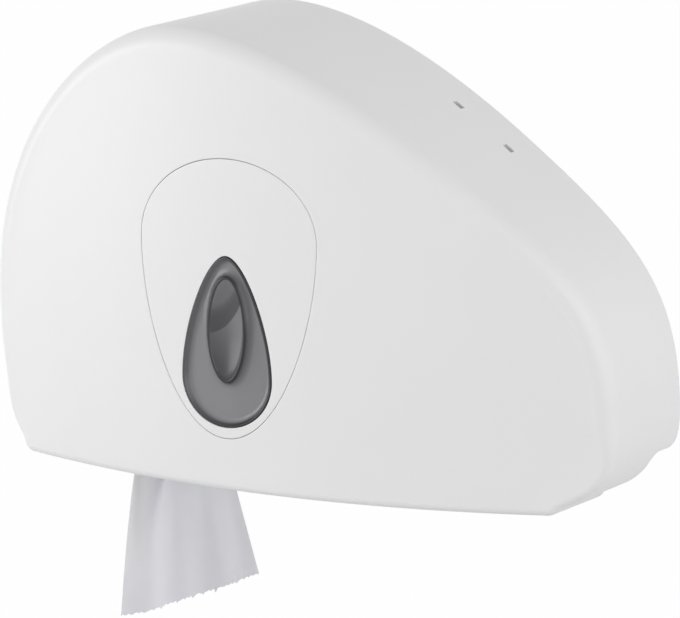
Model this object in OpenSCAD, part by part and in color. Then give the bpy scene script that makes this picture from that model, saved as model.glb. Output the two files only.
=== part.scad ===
// Wall-mounted jumbo toilet roll dispenser with a second spindle for the last of a used roll.
// Millimetres. +X right seen from the front, +Y into the wall, +Z up.
// The origin is the centre of the four wall holes, on the wall plane.

/* [Housing outline, seen from the front] */
// Leftmost point, left of the origin
left_reach = 189.5; // [180:0.5:200]
// Height of the leftmost point
left_height = 21; // [10:1:30]
// Sideways place of the crown, the highest point
crown_x = -56.5; // [-70:0.5:-45]
// Height of the crown
crown_height = 186; // [178:1:196]
// Sideways place of the middle of the slope
slope_x = 111; // [104:1:118]
// Height of the middle of the slope
slope_height = 115; // [108:1:120]
// Fall of the slope, degrees below level
slope_fall = 36; // [33:0.5:39]
// Rightmost point, right of the origin
right_reach = 209; // [204:0.5:216]
// Height of the rightmost point
right_height = -33; // [-40:1:-25]
// Height of the underside at its right end
floor_height = -82; // [-86:1:-80]
// Rise of the underside from its right end to its left end
floor_rise = 7; // [5:0.5:9]
// Radius of the lower left corner
left_corner_r = 7; // [6:0.5:10]
// Radius of the lower right corner
right_corner_r = 8; // [6:0.5:10]
// Sideways place of the lower left corner's centre
left_corner_x = -159; // [-162:1:-156]
// Sideways place of the lower right corner's centre
right_corner_x = 170; // [167:1:172]

/* [Cover shell] */
// Depth of the cover from the wall to its fullest point
depth = 130; // [126:0.5:140]
// Wall thickness of the cover
wall = 2.5; // [2:0.1:3]
// Rounding between the front and the top and sides
front_round = 12.7; // [8:0.1:14]
// Rounding between the front and the underside
low_round = 4.6; // [3.5:0.1:5]
// Draft of the top and side walls, degrees
draft = 0.7; // [0:0.1:1.2]
// Radius of the front's bow from side to side
bow_r = 625; // [500:5:900]
// Sideways place of the fullest point of the front
bow_x = -60; // [-75:1:-45]
// Radius of the front's bow from top to bottom
upright_bow_r = 4350; // [3000:50:6000]
// Height of the fullest point of the front
bow_height = -64; // [-80:1:-40]
// Gap between the cover's rear edge and the wall
rear_gap = 0.8; // [0.5:0.1:1.5]

/* [Front plaque] */
// Sideways place of the plaque's and the window's axis
plaque_x = -15.5; // [-20:0.5:-10]
// Height of the plaque's top
plaque_top = 111.5; // [106:0.5:116]
// Height of the plaque's widest place
plaque_side = 65; // [58:1:72]
// Height of the plaque's lowest point
plaque_foot = -49.5; // [-52:0.5:-49]
// Half of the plaque's width
plaque_half_w = 57; // [52:0.5:60]
// Seam between the plaque and the cover
seam = 0.35; // [0.2:0.05:0.5]
// Width of the flange behind the plaque
plaque_flange = 8; // [7:0.5:9]
// Thickness of the plaque's flange
flange_t = 1.6; // [1.2:0.1:2]

/* [Window] */
// Height of the window's top
window_top = 55.8; // [50:0.5:60]
// Height of the window's widest place
window_side = -14.5; // [-18:0.5:-10]
// Height of the window's lowest point
window_foot = -43; // [-43.5:0.5:-40]
// Half of the window's width
window_half_w = 29; // [26:0.5:31]
// Depth of the window's field behind the front
field_depth = 2.8; // [2:0.1:3]
// Wall thickness of the window
window_t = 1.6; // [1.2:0.1:2]
// Height of the top of the oval boss
boss_top = 44; // [40:0.5:46]
// Height of the foot of the oval boss
boss_foot = -17; // [-20:0.5:-14]
// Half of the oval boss's width
boss_half_w = 12.3; // [10:0.1:13]
// Depth of the boss's dished face
dish_depth = 1.8; // [1:0.1:2]

/* [Hinge] */
// Distance of the hinge axis from the wall
hinge_depth = 20.5; // [20:0.5:21.5]
// Height of the hinge axis above the underside's right end
hinge_rise = 12.5; // [12:0.5:13]
// Radius of the hinge pins
hinge_pin_r = 2; // [1.5:0.1:2.5]
// Radius of the knuckles
knuckle_r = 5.5; // [5:0.5:6]
// Depth of the rear notch in the cover's lower edge
notch_depth = 32.5; // [32:0.5:34]
// Height of the rear notch above the underside's right end
notch_rise = 10; // [9:0.5:10]
// Depth of the cover's cut-away rear corners
corner_cut_depth = 24.5; // [22:0.5:26]
// Height of the cut-away rear corners above the underside's right end
corner_cut_rise = 28; // [24:0.5:30]
// Inner face of the left ear, left of the origin
left_ear = 158.5; // [157:0.5:159]
// Inner face of the right ear, right of the origin
right_ear = 170; // [169:0.5:171]

/* [Paper] */
// Radius of a full roll
roll_r = 100; // [80:1:105]
// Clearance between the roll and the fullest point of the front
roll_clear = 36; // [34:0.5:42]
// Radius of the core's bore
core_r = 30; // [28:0.5:32]
// Wall of the cardboard core
core_wall = 1.5; // [1:0.1:2]
// Thickness of the hanging paper, all plies
paper_t = 0.6; // [0.4:0.1:0.8]

/* [Spindles] */
// Sideways place of the main spindle
main_x = -62; // [-66:1:-58]
// Height of the main spindle
main_height = 52; // [46:1:56]
// Sideways place of the stub spindle
stub_x = 104; // [98:1:108]
// Height of the stub spindle
stub_height = -22; // [-26:1:-16]
// Radius of a spindle
spindle_r = 16; // [14:0.5:18]
// Wall of a spindle
spindle_wall = 2.5; // [2:0.1:3]
// Radius of a spindle's base
base_r = 24; // [22:0.5:26]
// Thickness of a spindle's base
base_t = 2.5; // [2:0.1:3]
// Radius of the hub's flange
hub_flange_r = 38; // [34:1:42]
// Thickness of the hub's flange
hub_flange_t = 1.5; // [1.2:0.1:2]

/* [Back plate] */
// Thickness of the back plate
plate_t = 2.5; // [2:0.1:3]
// Gap between the cover's inside and the back plate
plate_gap = 0.8; // [0.6:0.1:1.2]
// Depth of the back plate's rim from the wall
rim_depth = 12; // [9:0.5:14]
// Spacing of the wall holes, side to side
wall_hole_pitch_x = 300; // [290:1:310]
// Spacing of the wall holes, top to bottom
wall_hole_pitch_z = 100; // [90:1:110]
// Radius of a wall hole
wall_hole_r = 2.75; // [2.25:0.05:3.25]
// Thickness of the seat under a spindle
seat_t = 4.5; // [4:0.1:5]

/* [Lock] */
// Distance of the key slots from the wall
slot_depth = 27; // [26:0.5:28]
// Spacing of the two key slots along the slope
slot_pitch = 40; // [38:0.5:42]
// Length of a key slot
slot_l = 6.5; // [5:0.1:8]
// Width of a key slot
slot_w = 2.2; // [1.8:0.1:2.6]
// Travel of the catch when the key presses it
catch_travel = 3; // [2.5:0.1:3.5]
// How far the catch's tooth reaches past the keeper's edge
catch_bite = 1.8; // [1:0.1:2]

/* [Paper exits] */
// Left edge of the main exit
main_exit_x = -112; // [-116:1:-110]
// Width of the main exit
main_exit_w = 78; // [70:1:84]
// Left edge of the stub exit
stub_exit_x = 56; // [50:1:60]
// Width of the stub exit
stub_exit_w = 50; // [44:1:54]
// Depth of the main exit's front edge, from the wall
main_exit_depth = 110; // [104:1:112]
// Depth of the stub exit's front edge, from the wall
stub_exit_depth = 98; // [96:0.5:98]
// Length of a tear tooth
tooth_l = 2.6; // [2:0.1:3]
// Spacing of the tear teeth
tooth_pitch = 3; // [2:0.5:4]

/* [Hidden] */
$fn = 64;
eps = 0.01;
slip = 0.05;        // radial clearance of a running fit
grip = 0.02;        // radial clearance of a screw in its pilot hole
touch = 0.05;       // gap between faces that seat on each other
shell_white = [0.93, 0.93, 0.93];
inner_white = [0.86, 0.87, 0.88];
smoke = [0.5, 0.51, 0.53, 0.7];
steel = [0.72, 0.73, 0.75];
acetal = [0.3, 0.32, 0.35];
card = [0.72, 0.62, 0.5];
tissue = [0.86, 0.86, 0.9];

// ---- curves -------------------------------------------------------------------------------------

function unit(v) = v / norm(v);
function outward(v) = unit([-v[1], v[0]]);
function lerp(a, b, t) = a + (b - a) * t;
function smooth(t) = let (u = max(0, min(1, t))) u * u * (3 - 2 * u);

// A cubic curve from a to d: rows of [point, outward normal], for travel with the outside on the left
function curve(a, b, c, d, n) = [
    for (i = [0 : n - 1]) let (t = i / n, s = 1 - t) [
        s * s * s * a + 3 * s * s * t * b + 3 * s * t * t * c + t * t * t * d,
        outward(s * s * (b - a) + 2 * s * t * (c - b) + t * t * (d - c))
    ]
];
// An arc about a centre, clockwise from angle a0 to a1
function arc(centre, r, a0, a1, n) = [
    for (i = [0 : n - 1]) let (a = lerp(a0, a1, i / n), v = [cos(a), sin(a)]) [centre + r * v, v]
];

// ---- the housing's outline, clockwise from the lower left corner ----------------------------------

left_lean = 8.8;     // lean of the left flank at the lower corner
right_lean = 34;     // lean of the right flank at the lower corner
floor_fall = 2.9;    // fall of the underside at its left end
floor_lift = 0.5;    // rise of the underside at its right end
left_corner = [left_corner_x, floor_height + floor_rise + left_corner_r];
right_corner = [right_corner_x, floor_height + right_corner_r];
flank_start = left_corner + left_corner_r * [-cos(left_lean), -sin(left_lean)];
left_point = [-left_reach, left_height];
crown = [crown_x, crown_height];
slope_mid = [slope_x, slope_height];
slope_dir = [cos(slope_fall), -sin(slope_fall)];
right_point = [right_reach, right_height];
flank_end = right_corner + right_corner_r * [cos(right_lean), -sin(right_lean)];
slope_curve = [crown, crown + [55, 0], slope_mid - 62 * slope_dir, slope_mid];
// The underside, a shallow curve from right to left whose x runs evenly
floor_start = right_corner + right_corner_r * [sin(floor_lift), -cos(floor_lift)];
floor_end = left_corner - left_corner_r * [sin(floor_fall), cos(floor_fall)];
floor_third = (floor_start[0] - floor_end[0]) / 3;
floor_curve = [
    floor_start, floor_start - floor_third * [1, tan(floor_lift)],
    floor_end + floor_third * [1, -tan(floor_fall)], floor_end
];
// Height of the underside at x
function floor_z(x) = let (t = (floor_start[0] - x) / (3 * floor_third), s = 1 - t, c = floor_curve)
    s * s * s * c[0][1] + 3 * s * s * t * c[1][1] + 3 * s * t * t * c[2][1] + t * t * t * c[3][1];

outline = concat(
    curve(flank_start, flank_start + 8 * [-sin(left_lean), cos(left_lean)],
        left_point - [0, 78], left_point, 10),
    curve(left_point, left_point + [0, 106], crown - [51, 0], crown, 18),
    curve(slope_curve[0], slope_curve[1], slope_curve[2], slope_curve[3], 12),
    curve(slope_mid, slope_mid + 87 * slope_dir, right_point + [0, 70], right_point, 14),
    curve(right_point, right_point - [0, 38], flank_end + 5 * [sin(right_lean), cos(right_lean)],
        flank_end, 10),
    arc(right_corner, right_corner_r, -right_lean, -90 + floor_lift, 4),
    curve(floor_curve[0], floor_curve[1], floor_curve[2], floor_curve[3], 20),
    arc(left_corner, left_corner_r, -90 - floor_fall, left_lean - 180, 5)
);
function outline_in(k) = [for (p = outline) p[0] - k * p[1]];

// ---- the front surface ------------------------------------------------------------------------------

// Depth of the bowed front at a place seen from the front
function front_y(p) = -depth + pow(p[0] - bow_x, 2) / (2 * bow_r)
    + pow(p[1] - bow_height, 2) / (2 * upright_bow_r);
function on_front(p, back) = [p[0], front_y(p) + back, p[1]];
// 0 along the underside, 1 on the flanks and the top
function height_blend(p) = smooth((p[1] - floor_height - 14) / 45);

// ---- meshes made from rows of points -------------------------------------------------------------------

// Triangles between two neighbouring rows of n points that start at index a and b
function band(a, b, n) = [
    for (i = [0 : n - 1]) let (j = (i + 1) % n)
        each [[a + i, b + i, b + j], [a + i, b + j, a + j]]
];
// A closed skin through rows of points, with a pole at each end
module skin(pole_a, rows, pole_b) {
    n = len(rows[0]);
    m = len(rows);
    last = 1 + n * m;
    polyhedron(
        points = concat([pole_a], [for (r = rows) each r], [pole_b]),
        faces = concat(
            [for (i = [0 : n - 1]) [0, 1 + i, 1 + (i + 1) % n]],
            [for (k = [0 : m - 2]) each band(1 + n * k, 1 + n * (k + 1), n)],
            [for (i = [0 : n - 1]) [last, last - n + (i + 1) % n, last - n + i]]
        )
    );
}
// A ring-shaped skin: the last row joins the first
module ring_skin(rows) {
    n = len(rows[0]);
    m = len(rows);
    polyhedron(
        points = [for (r = rows) each r],
        faces = [for (k = [0 : m - 1]) each band(n * k, n * ((k + 1) % m), n)]
    );
}
// A flat profile from the front, run from y0 at the rear to y1 at the front
module slab(y0, y1) {
    translate([0, y0, 0])
        rotate([90, 0, 0])
            linear_extrude(y0 - y1)
                children();
}
// A round bar along Y from y0 at the rear to y1 at the front, at a place seen from the front
module bar_y(p, r, y0, y1) {
    translate([p[0], y0, p[1]])
        rotate([90, 0, 0])
            cylinder(r = r, h = y0 - y1);
}
// A round bar along X
module bar_x(x0, x1, y, z, r) {
    translate([x0, y, z])
        rotate([0, 90, 0])
            cylinder(r = r, h = x1 - x0);
}
// A box between two corners
module block(a, b) {
    translate(a)
        cube(b - a);
}

// ---- cover shell -----------------------------------------------------------------------------------------

face_steps = [0.25, 0.5, 0.75];
round_steps = [90, 67.5, 45, 22.5, 0];
hole_allowance = 2;  // the shell starts this far inside the plaque's line, before its opening is cut

// One row of the rounded edge: back is the wall offset, turn runs from 90 on the front to 0 on the wall
function edge_round(p, back) = let (r = lerp(low_round, front_round, height_blend(p))) max(r - back, 1.6);
function drafted(p) = tan(draft) * depth * height_blend(p);
function edge_row(back, turn) = [
    for (q = outline) let (
        r = edge_round(q[0], back),
        full = q[0] - (drafted(q[0]) + back + r) * q[1],
        p = q[0] - (drafted(q[0]) + back + r * (1 - cos(turn))) * q[1]
    ) [p[0], front_y(full) + back + r * (1 - sin(turn)), p[1]]
];
function rim_row(back) = [for (q = outline) let (p = q[0] - back * q[1]) [p[0], -rear_gap, p[1]]];
// Rows from the plaque's hole out to the rounded edge; the first two run along the plaque's own line
function hole_row(back, k) = [for (p = facing_line) on_front(p[0] + k * p[1], back)];
function face_row(back, share) = let (e = edge_row(back, 90), k = plaque_flange + 0.5) [
    for (i = [0 : len(e) - 1]) let (f = facing_line[i])
        on_front(lerp(f[0] + k * f[1], [e[i][0], e[i][2]], share), back)
];

module cover_shell() {
    ring_skin(concat(
        [hole_row(0, -hole_allowance), hole_row(0, plaque_flange + 0.5)],
        [for (s = face_steps) face_row(0, s)],
        [for (a = round_steps) edge_row(0, a)],
        [rim_row(0), rim_row(wall)],
        [for (k = [len(round_steps) - 1 : -2 : 0]) edge_row(wall, round_steps[k])],
        [for (k = [len(face_steps) - 1 : -1 : 0]) face_row(wall, face_steps[k])],
        [hole_row(wall, plaque_flange + 0.5), hole_row(wall, -hole_allowance)]
    ));
}
// The plaque's opening, cut straight through the front
module plaque_opening() {
    slab(-depth / 2, -depth - 5) polygon([for (q = plaque_drop(24)) q[0] + seam * q[1]]);
}

// ---- egg, teardrop and oval outlines --------------------------------------------------------------------

// Clockwise from the top: two curves a side, with handles in millimetres
function drop(x, top, side, foot, half_w, h_top, h_up, h_down, h_foot, n) = let (
    t = [x, top], f = [x, foot], r = [x + half_w, side], l = [x - half_w, side]
) concat(
    curve(t, t + [h_top, 0], r + [0, h_up], r, n),
    curve(r, r - [0, h_down], f + [h_foot, 0], f, n),
    curve(f, f - [h_foot, 0], l - [0, h_down], l, n),
    curve(l, l + [0, h_up], t - [h_top, 0], t, n)
);
drop_n = 16;
plaque_sizes = [plaque_top, plaque_side, plaque_foot, plaque_half_w];
function plaque_drop(n) = drop(plaque_x, plaque_sizes[0], plaque_sizes[1], plaque_sizes[2], plaque_sizes[3],
    31.5, 26, 50, 33, n);
plaque_line = plaque_drop(drop_n);
window_line = drop(plaque_x, window_top, window_side, window_foot, window_half_w, 12, 29, 16, 16, drop_n);
boss_centre = [plaque_x, (boss_top + boss_foot) / 2];
boss_line = drop(plaque_x, boss_top, (boss_top + boss_foot) / 2, boss_foot, boss_half_w, 6.5, 17, 17, 6.5, drop_n);
function grown(line, k) = [for (q = line) q[0] + k * q[1]];
function row_at(line, k, back) = [for (p = grown(line, k)) on_front(p, back)];
// The plaque's line again, with one point for each point of the housing's outline, in its direction
plaque_centre = [plaque_x, (plaque_top + plaque_foot) / 2];
function bearing(p) = let (a = atan2(p[0] - plaque_centre[0], p[1] - plaque_centre[1])) a < -0.001 ? a + 360 : a;
fine_line = plaque_drop(40);
bearings = concat([for (i = [0 : 159]) [bearing(fine_line[i][0]), i]], [[360, 160]]);
facing_line = [
    for (q = outline) let (j = lookup(bearing(q[0]), bearings), i = floor(j),
        a = fine_line[i % 160], b = fine_line[(i + 1) % 160]) lerp(a, b, j - i)
];
function row_between(line_a, line_b, s, back) = [
    for (i = [0 : len(line_a) - 1]) on_front(lerp(line_a[i], line_b[i], s), back)
];

// A line shrunk about a centre, as a row on the front
function row_shrunk(line, centre, s, back) = [for (q = line) on_front(lerp(centre, q[0], s), back)];

// Studs: some points of a line, moved out by k, as places seen from the front
function stud_places(line, picks, k) = [for (i = picks) line[i][0] + k * line[i][1]];
plaque_stud_out = plaque_flange / 2 + 0.5;
plaque_studs = stud_places(plaque_line, [5, 16, 26, 38, 48, 59], plaque_stud_out);
plaque_stud_r = 1.5;
window_flange = 3.6;
neck = 1.2;          // how far the plaque's flange reaches in behind the plaque
// Width of the window's flange at a point of its line, kept clear of the plaque's flange
function lens_flange(p) = min(window_flange, min([for (q = fine_line) (q[0] - p) * q[1]]) - neck - 0.8);
lens_edge = [for (q = window_line) q[0] + lens_flange(q[0]) * q[1]];
lens_pocket = [for (q = window_line) q[0] + (lens_flange(q[0]) + 0.4) * q[1]];
function row_on(line, back) = [for (p = line) on_front(p, back)];
lens_studs = stud_places(window_line, [7, 18, 46, 57], window_flange / 2 + 0.1);
lens_stud_r = 0.9;
clip_t = 0.6;
stud_spare = 1.2;   // how far a stud shows past its clip
stud_seat = 0.7;    // flat seat under a clip, on the bowed flange
stud_seat_r = 2.8;
lens_seat_r = 1.4;

flange_back = wall + touch + flange_t;
lens_flange_back = wall + touch + window_t;

// ---- hinge -----------------------------------------------------------------------------------------------

hinge_y = -hinge_depth;
hinge_z = floor_height + hinge_rise;
notch_z = floor_height + notch_rise;
ear_w = 6;
knuckle_gap = 0.5;
bracket_w = 12;
ear_web_rise = 12;   // height of the web that ties an ear to the cover's wall
ear_reach = 18;      // how far the web reaches forward of the axis, past the cut-away corner

// An ear: knuckle and web, clipped inside the cover's outer surface
module ear(x0, x1, web_x0, web_x1) {
    intersection() {
        union() {
            bar_x(x0, x1, hinge_y, hinge_z, knuckle_r);
            block([x0, hinge_y - ear_reach, hinge_z], [x1, hinge_y + knuckle_r, hinge_z + ear_web_rise]);
            block([web_x0, hinge_y - ear_reach, hinge_z + knuckle_r / 2],
                [web_x1, hinge_y - ear_reach + 10, hinge_z + ear_web_rise]);
        }
        slab(-1, -depth / 2) polygon(outline_in(wall / 2));
    }
}
left_ear_outer = -left_ear - ear_w;
right_ear_outer = right_ear + ear_w;

// ---- lock's own frame: x along the slope, z out of the cover's outer surface --------------------------------

lock_share = 0.9;    // how far along the slope curve the lock sits
function on_slope(t) = let (s = 1 - t, c = slope_curve)
    s * s * s * c[0] + 3 * s * s * t * c[1] + 3 * s * t * t * c[2] + t * t * t * c[3];
lock_place = on_slope(lock_share);
lock_dir = on_slope(lock_share + 0.05) - on_slope(lock_share - 0.05);
lock_turn = -atan2(lock_dir[1], lock_dir[0]);
module at_lock() {
    translate([lock_place[0], 0, lock_place[1]])
        rotate([0, lock_turn, 0])
            children();
}
inner_skin = -wall - 0.6;                     // the cover's inside, with the draft and the sag of the arc
keeper_drop = 4.2;
keeper_edge = -wall - keeper_drop;            // how low the keeper reaches
keeper_t = 2.5;
keeper_front = -slot_depth - 14;
keeper_half_l = 10;
pad_gap = 1.1;
pad_top = inner_skin - pad_gap;
pad_l = 9;
catch_w = 8;
catch_half_l = 28;
catch_top = pad_top - 3;
catch_t = 5;
tooth_top = keeper_edge + catch_bite;
tooth_back = keeper_front - 0.4;
tooth_t = 3;
arm_top = keeper_edge - 1;
arm_t = 4;
arm_half_w = 6;
guide_gap = 0.3;
housing_wall = 2.5;
spring_l = 9.5;
spring_r = 3;
spring_wire_r = 0.4;
spring_turns = 6;
housing_floor = catch_top - catch_t - spring_l;
housing_half_l = catch_half_l + guide_gap + 5;
housing_top = inner_skin - rim_depth / 3;
catch_front = -slot_depth - catch_w / 2;
catch_rear = -slot_depth + catch_w / 2;

// ---- wall screws, spindles, roll ----------------------------------------------------------------------------

main_at = [main_x, main_height];
stub_at = [stub_x, stub_height];
base_front = -seat_t - base_t;                   // front of a spindle's base
hub_back = base_front - 0.2;
roll_back = hub_back - hub_flange_t - 0.3;
roll_front = -depth + roll_clear;
spindle_front = roll_front - 1;
hub_front = spindle_front + 0.4;
hub_drum_r = core_r - 1.3;
cap_r = spindle_r + 4;
cap_t = 2.5;
base_screw_ring = 9;
base_screw_r = 1.5;
post_r = 3.2;
cap_screw_r = 2;
head_t = 2;

// ---- paper exits -----------------------------------------------------------------------------------------------

strip_t = 1.5;
strip_w = 10;
strip_back = notch_depth + 3;
strip_lap = 1.2;            // how far a strip's body stands into the exit
rivet_r = 1.5;
rivet_head_r = 2.6;
rivet_head_t = 0.9;
rivet_in = 16;              // rivets' distance from a strip's ends

// ====================================================================================================

module cover() {
    color(shell_white)
        difference() {
            union() {
                difference() {
                    cover_shell();
                    plaque_opening();
                    exit_opening(main_exit_x, main_exit_w, main_exit_depth);
                    exit_opening(stub_exit_x, stub_exit_w, stub_exit_depth);
                    rear_notch();
                    key_slots();
                }
                ear(left_ear_outer, -left_ear, left_ear_outer - 5, -left_ear);
                ear(right_ear, right_ear_outer, right_ear, right_ear_outer + 40);
                keeper();
                for (p = plaque_studs)
                    bar_y(p, plaque_stud_r, front_y(p) + flange_back + stud_seat + clip_t + stud_spare, front_y(p) + wall / 2);
            }
            bar_x(left_ear_outer + 1, -left_ear + 1, hinge_y, hinge_z, hinge_pin_r + slip);
            bar_x(right_ear - 1, right_ear_outer - 1, hinge_y, hinge_z, hinge_pin_r + slip);
            rivet_holes(main_exit_x, main_exit_w, main_exit_depth);
            rivet_holes(stub_exit_x, stub_exit_w, stub_exit_depth);
        }
}

// A paper exit, open towards the wall
module exit_opening(x, w, d) {
    block([x, -d, floor_height - 6], [x + w, -notch_depth + 2, floor_height + floor_rise + wall + 4]);
}

// The lower edge of the cover steps up behind the underside, round at its inner corner
module rear_notch() {
    notch_r = 7;
    block([-300, -notch_depth, floor_height - 5], [300, 5, notch_z - notch_r]);
    block([-300, -notch_depth + notch_r, notch_z - notch_r - eps], [300, 5, notch_z]);
    bar_x(-300, 300, -notch_depth + notch_r, notch_z - notch_r, notch_r);
    cut_z = floor_height + corner_cut_rise;
    block([-300, -corner_cut_depth, floor_height], [300, 5, cut_z - notch_r]);
    block([-300, -corner_cut_depth + notch_r, cut_z - notch_r - eps], [300, 5, cut_z]);
    bar_x(-300, 300, -corner_cut_depth + notch_r, cut_z - notch_r, notch_r);
}

module key_slots() {
    at_lock()
        for (s = [-1, 1])
            translate([s * slot_pitch / 2 - slot_l / 2, -slot_depth - slot_w / 2, -wall - 3])
                cube([slot_l, slot_w, wall + 8]);
}

// The ledge inside the slope that the catch's tooth holds
module keeper() {
    at_lock() {
        block([-keeper_half_l, keeper_front, keeper_edge], [keeper_half_l, keeper_front + keeper_t, -wall / 2 - 0.6]);
        for (s = [-1, 1])
            translate([s * (keeper_half_l - 1) - 1, keeper_front + keeper_t - eps, 0])
                rotate([90, 0, 90])
                    linear_extrude(2)
                        polygon([[0, keeper_edge + 0.8], [4, -wall - 0.6], [4, -wall / 2 - 0.6], [0, -wall / 2 - 0.6]]);
    }
}

module window_plaque() {
    plaque_edge = grown(plaque_line, -neck);
    color(shell_white)
        difference() {
            union() {
                ring_skin([
                    row_at(window_line, seam + 0.3, 0),
                    row_between(lens_pocket, plaque_edge, 0.35, 0),
                    row_between(lens_pocket, plaque_edge, 0.7, 0),
                    row_at(plaque_line, -0.3, 0),
                    row_at(plaque_line, 0, 0.3),
                    row_at(plaque_line, 0, wall + touch),
                    row_at(plaque_line, plaque_flange, wall + touch),
                    row_at(plaque_line, plaque_flange, flange_back),
                    row_at(plaque_line, -neck, flange_back),
                    row_at(plaque_line, -neck, wall),
                    row_between(lens_pocket, plaque_edge, 0.7, wall),
                    row_between(lens_pocket, plaque_edge, 0.35, wall),
                    row_on(lens_pocket, wall),
                    row_at(window_line, seam, wall),
                    row_at(window_line, seam, 0.3)
                ]);
                for (p = plaque_studs)
                    bar_y(p, stud_seat_r, front_y(p) + flange_back + stud_seat, front_y(p) + flange_back - 1);
                for (p = lens_studs)
                    bar_y(p, lens_stud_r, front_y(p) + lens_flange_back + stud_seat + clip_t + stud_spare, front_y(p) + wall / 2);
            }
            for (p = plaque_studs)
                bar_y(p, plaque_stud_r + slip, 0, front_y(p) + wall - 1);
        }
}

// A push-on clip: a thin washer with its edge turned towards the wall
module push_clip(p, r, bore_r, y) {
    difference() {
        union() {
            bar_y(p, r, y + clip_t, y);
            bar_y(p, bore_r + 0.8, y + clip_t + 0.5, y);
        }
        bar_y(p, bore_r, y + 5, y - 5);
    }
}

module plaque_clips() {
    color(steel)
        for (p = plaque_studs)
            push_clip(p, 3.4, plaque_stud_r + slip / 2, front_y(p) + flange_back + stud_seat + touch);
}

module window_lens() {
    color(smoke)
        difference() {
            union() {
            skin(
                on_front(boss_centre, dish_depth - 0.2),
                [
                    row_shrunk(boss_line, boss_centre, 0.4, dish_depth * 0.8 - 0.2),
                    row_shrunk(boss_line, boss_centre, 0.65, dish_depth * 0.5 - 0.2),
                    row_at(boss_line, -2.2, 0.2),
                    row_at(boss_line, -1.2, -0.2),
                    row_at(boss_line, -0.4, 0),
                    row_at(boss_line, 0.4, 0.9),
                    row_at(boss_line, 2.4, field_depth),
                    row_at(window_line, -3.2, field_depth),
                    row_at(window_line, -0.9, 0.35),
                    row_at(window_line, -0.3, 0.25),
                    row_at(window_line, 0, 0.5),
                    row_at(window_line, 0, wall + touch),
                    row_on(lens_edge, wall + touch),
                    row_on(lens_edge, lens_flange_back),
                    row_at(window_line, -2.4, field_depth + window_t),
                    row_at(boss_line, 1.6, field_depth + window_t),
                    row_at(boss_line, -1.4, window_t),
                    row_shrunk(boss_line, boss_centre, 0.4, dish_depth * 0.8 - 0.2 + window_t)
                ],
                on_front(boss_centre, dish_depth - 0.2 + window_t)
            );
            for (p = lens_studs)
                bar_y(p, lens_seat_r, front_y(p) + lens_flange_back + stud_seat, front_y(p) + lens_flange_back - 0.8);
            }
            for (p = lens_studs)
                bar_y(p, lens_stud_r + slip, 0, front_y(p) + wall - 0.5);
        }
}

module lens_clips() {
    color(steel)
        for (p = lens_studs)
            push_clip(p, 2.2, lens_stud_r + slip / 2, front_y(p) + lens_flange_back + stud_seat + touch);
}

// Height of the underside's inner face under a strip, at the strip's higher end
function strip_seat(x) = floor_z(x) + wall;
// A serrated strip along Y; its teeth point along +X from x, and it rests at height z
module tear_strip(x, strip_front, z) {
    n = floor((strip_front - strip_back) / tooth_pitch);
    translate([0, 0, z + touch])
        linear_extrude(strip_t)
            polygon(concat(
                [[x - strip_w, -strip_front], [x - strip_w, -strip_back], [x, -strip_back]],
                [for (i = [0 : n - 1]) each [
                    [x + tooth_l, -strip_back - (i + 0.5) * tooth_pitch],
                    [x, -strip_back - (i + 1) * tooth_pitch]
                ]],
                [[x, -strip_front]]
            ));
}
// Two strips face each other across an exit, drilled for their rivets
module strip_pair(x, w, d) {
    difference() {
        union() {
            tear_strip(x + strip_lap, d - 2, strip_seat(x + strip_lap - strip_w));
            translate([2 * x + w, 0, 0])
                mirror([1, 0, 0])
                    tear_strip(x + strip_lap, d - 2, strip_seat(x + w - strip_lap));
        }
        rivet_holes(x, w, d);
    }
}
function rivet_places(x, w, d) = [
    for (px = [x + strip_lap - strip_w / 2, x + w - strip_lap + strip_w / 2])
        for (py = [-strip_back - rivet_in, 2 - d + rivet_in]) [px, py]
];
module rivet_holes(x, w, d) {
    for (p = rivet_places(x, w, d))
        translate([p[0], p[1], floor_height - 6])
            cylinder(r = rivet_r + slip, h = 24);
}
module rivets(x, w, d) {
    for (p = rivet_places(x, w, d)) {
        top = strip_seat(p[0] < x + w / 2 ? x + strip_lap - strip_w : x + w - strip_lap) + touch + strip_t + touch;
        foot = floor_z(p[0] - rivet_r) + 0.4;
        translate([p[0], p[1], foot])
            cylinder(r = rivet_r, h = top - foot);
        translate([p[0], p[1], top])
            cylinder(r = rivet_head_r, h = rivet_head_t);
    }
}

module main_tear_strips() {
    color(inner_white) strip_pair(main_exit_x, main_exit_w, main_exit_depth);
}
module stub_tear_strips() {
    color(inner_white) strip_pair(stub_exit_x, stub_exit_w, stub_exit_depth);
}
module tear_strip_rivets() {
    color(steel) {
        rivets(main_exit_x, main_exit_w, main_exit_depth);
        rivets(stub_exit_x, stub_exit_w, stub_exit_depth);
    }
}

// ---- back plate ----------------------------------------------------------------------------------------------------

plate_in = wall + plate_gap;
swing_room = 9;              // the plate's lower corners stay this far above the cover's, for its swing
rim_foot = -25;              // the rim stands above this height
rim_t = 2.2;
rib_t = 1.8;
wall_boss_r = 8.4;
gusset_rise = 12;
rib_front = -seat_t - 1;
wall_holes = [
    for (sx = [-1, 1]) for (sz = [-1, 1]) [sx * wall_hole_pitch_x / 2, sz * wall_hole_pitch_z / 2]
];

// The plate's own outline between two depths, moved in by k
module plate_slab(y0, y1, k) {
    intersection() {
        slab(y0, y1) polygon(outline_in(k));
        translate([0, 0, swing_room]) slab(y0, y1) polygon(outline_in(k));
    }
}

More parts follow.
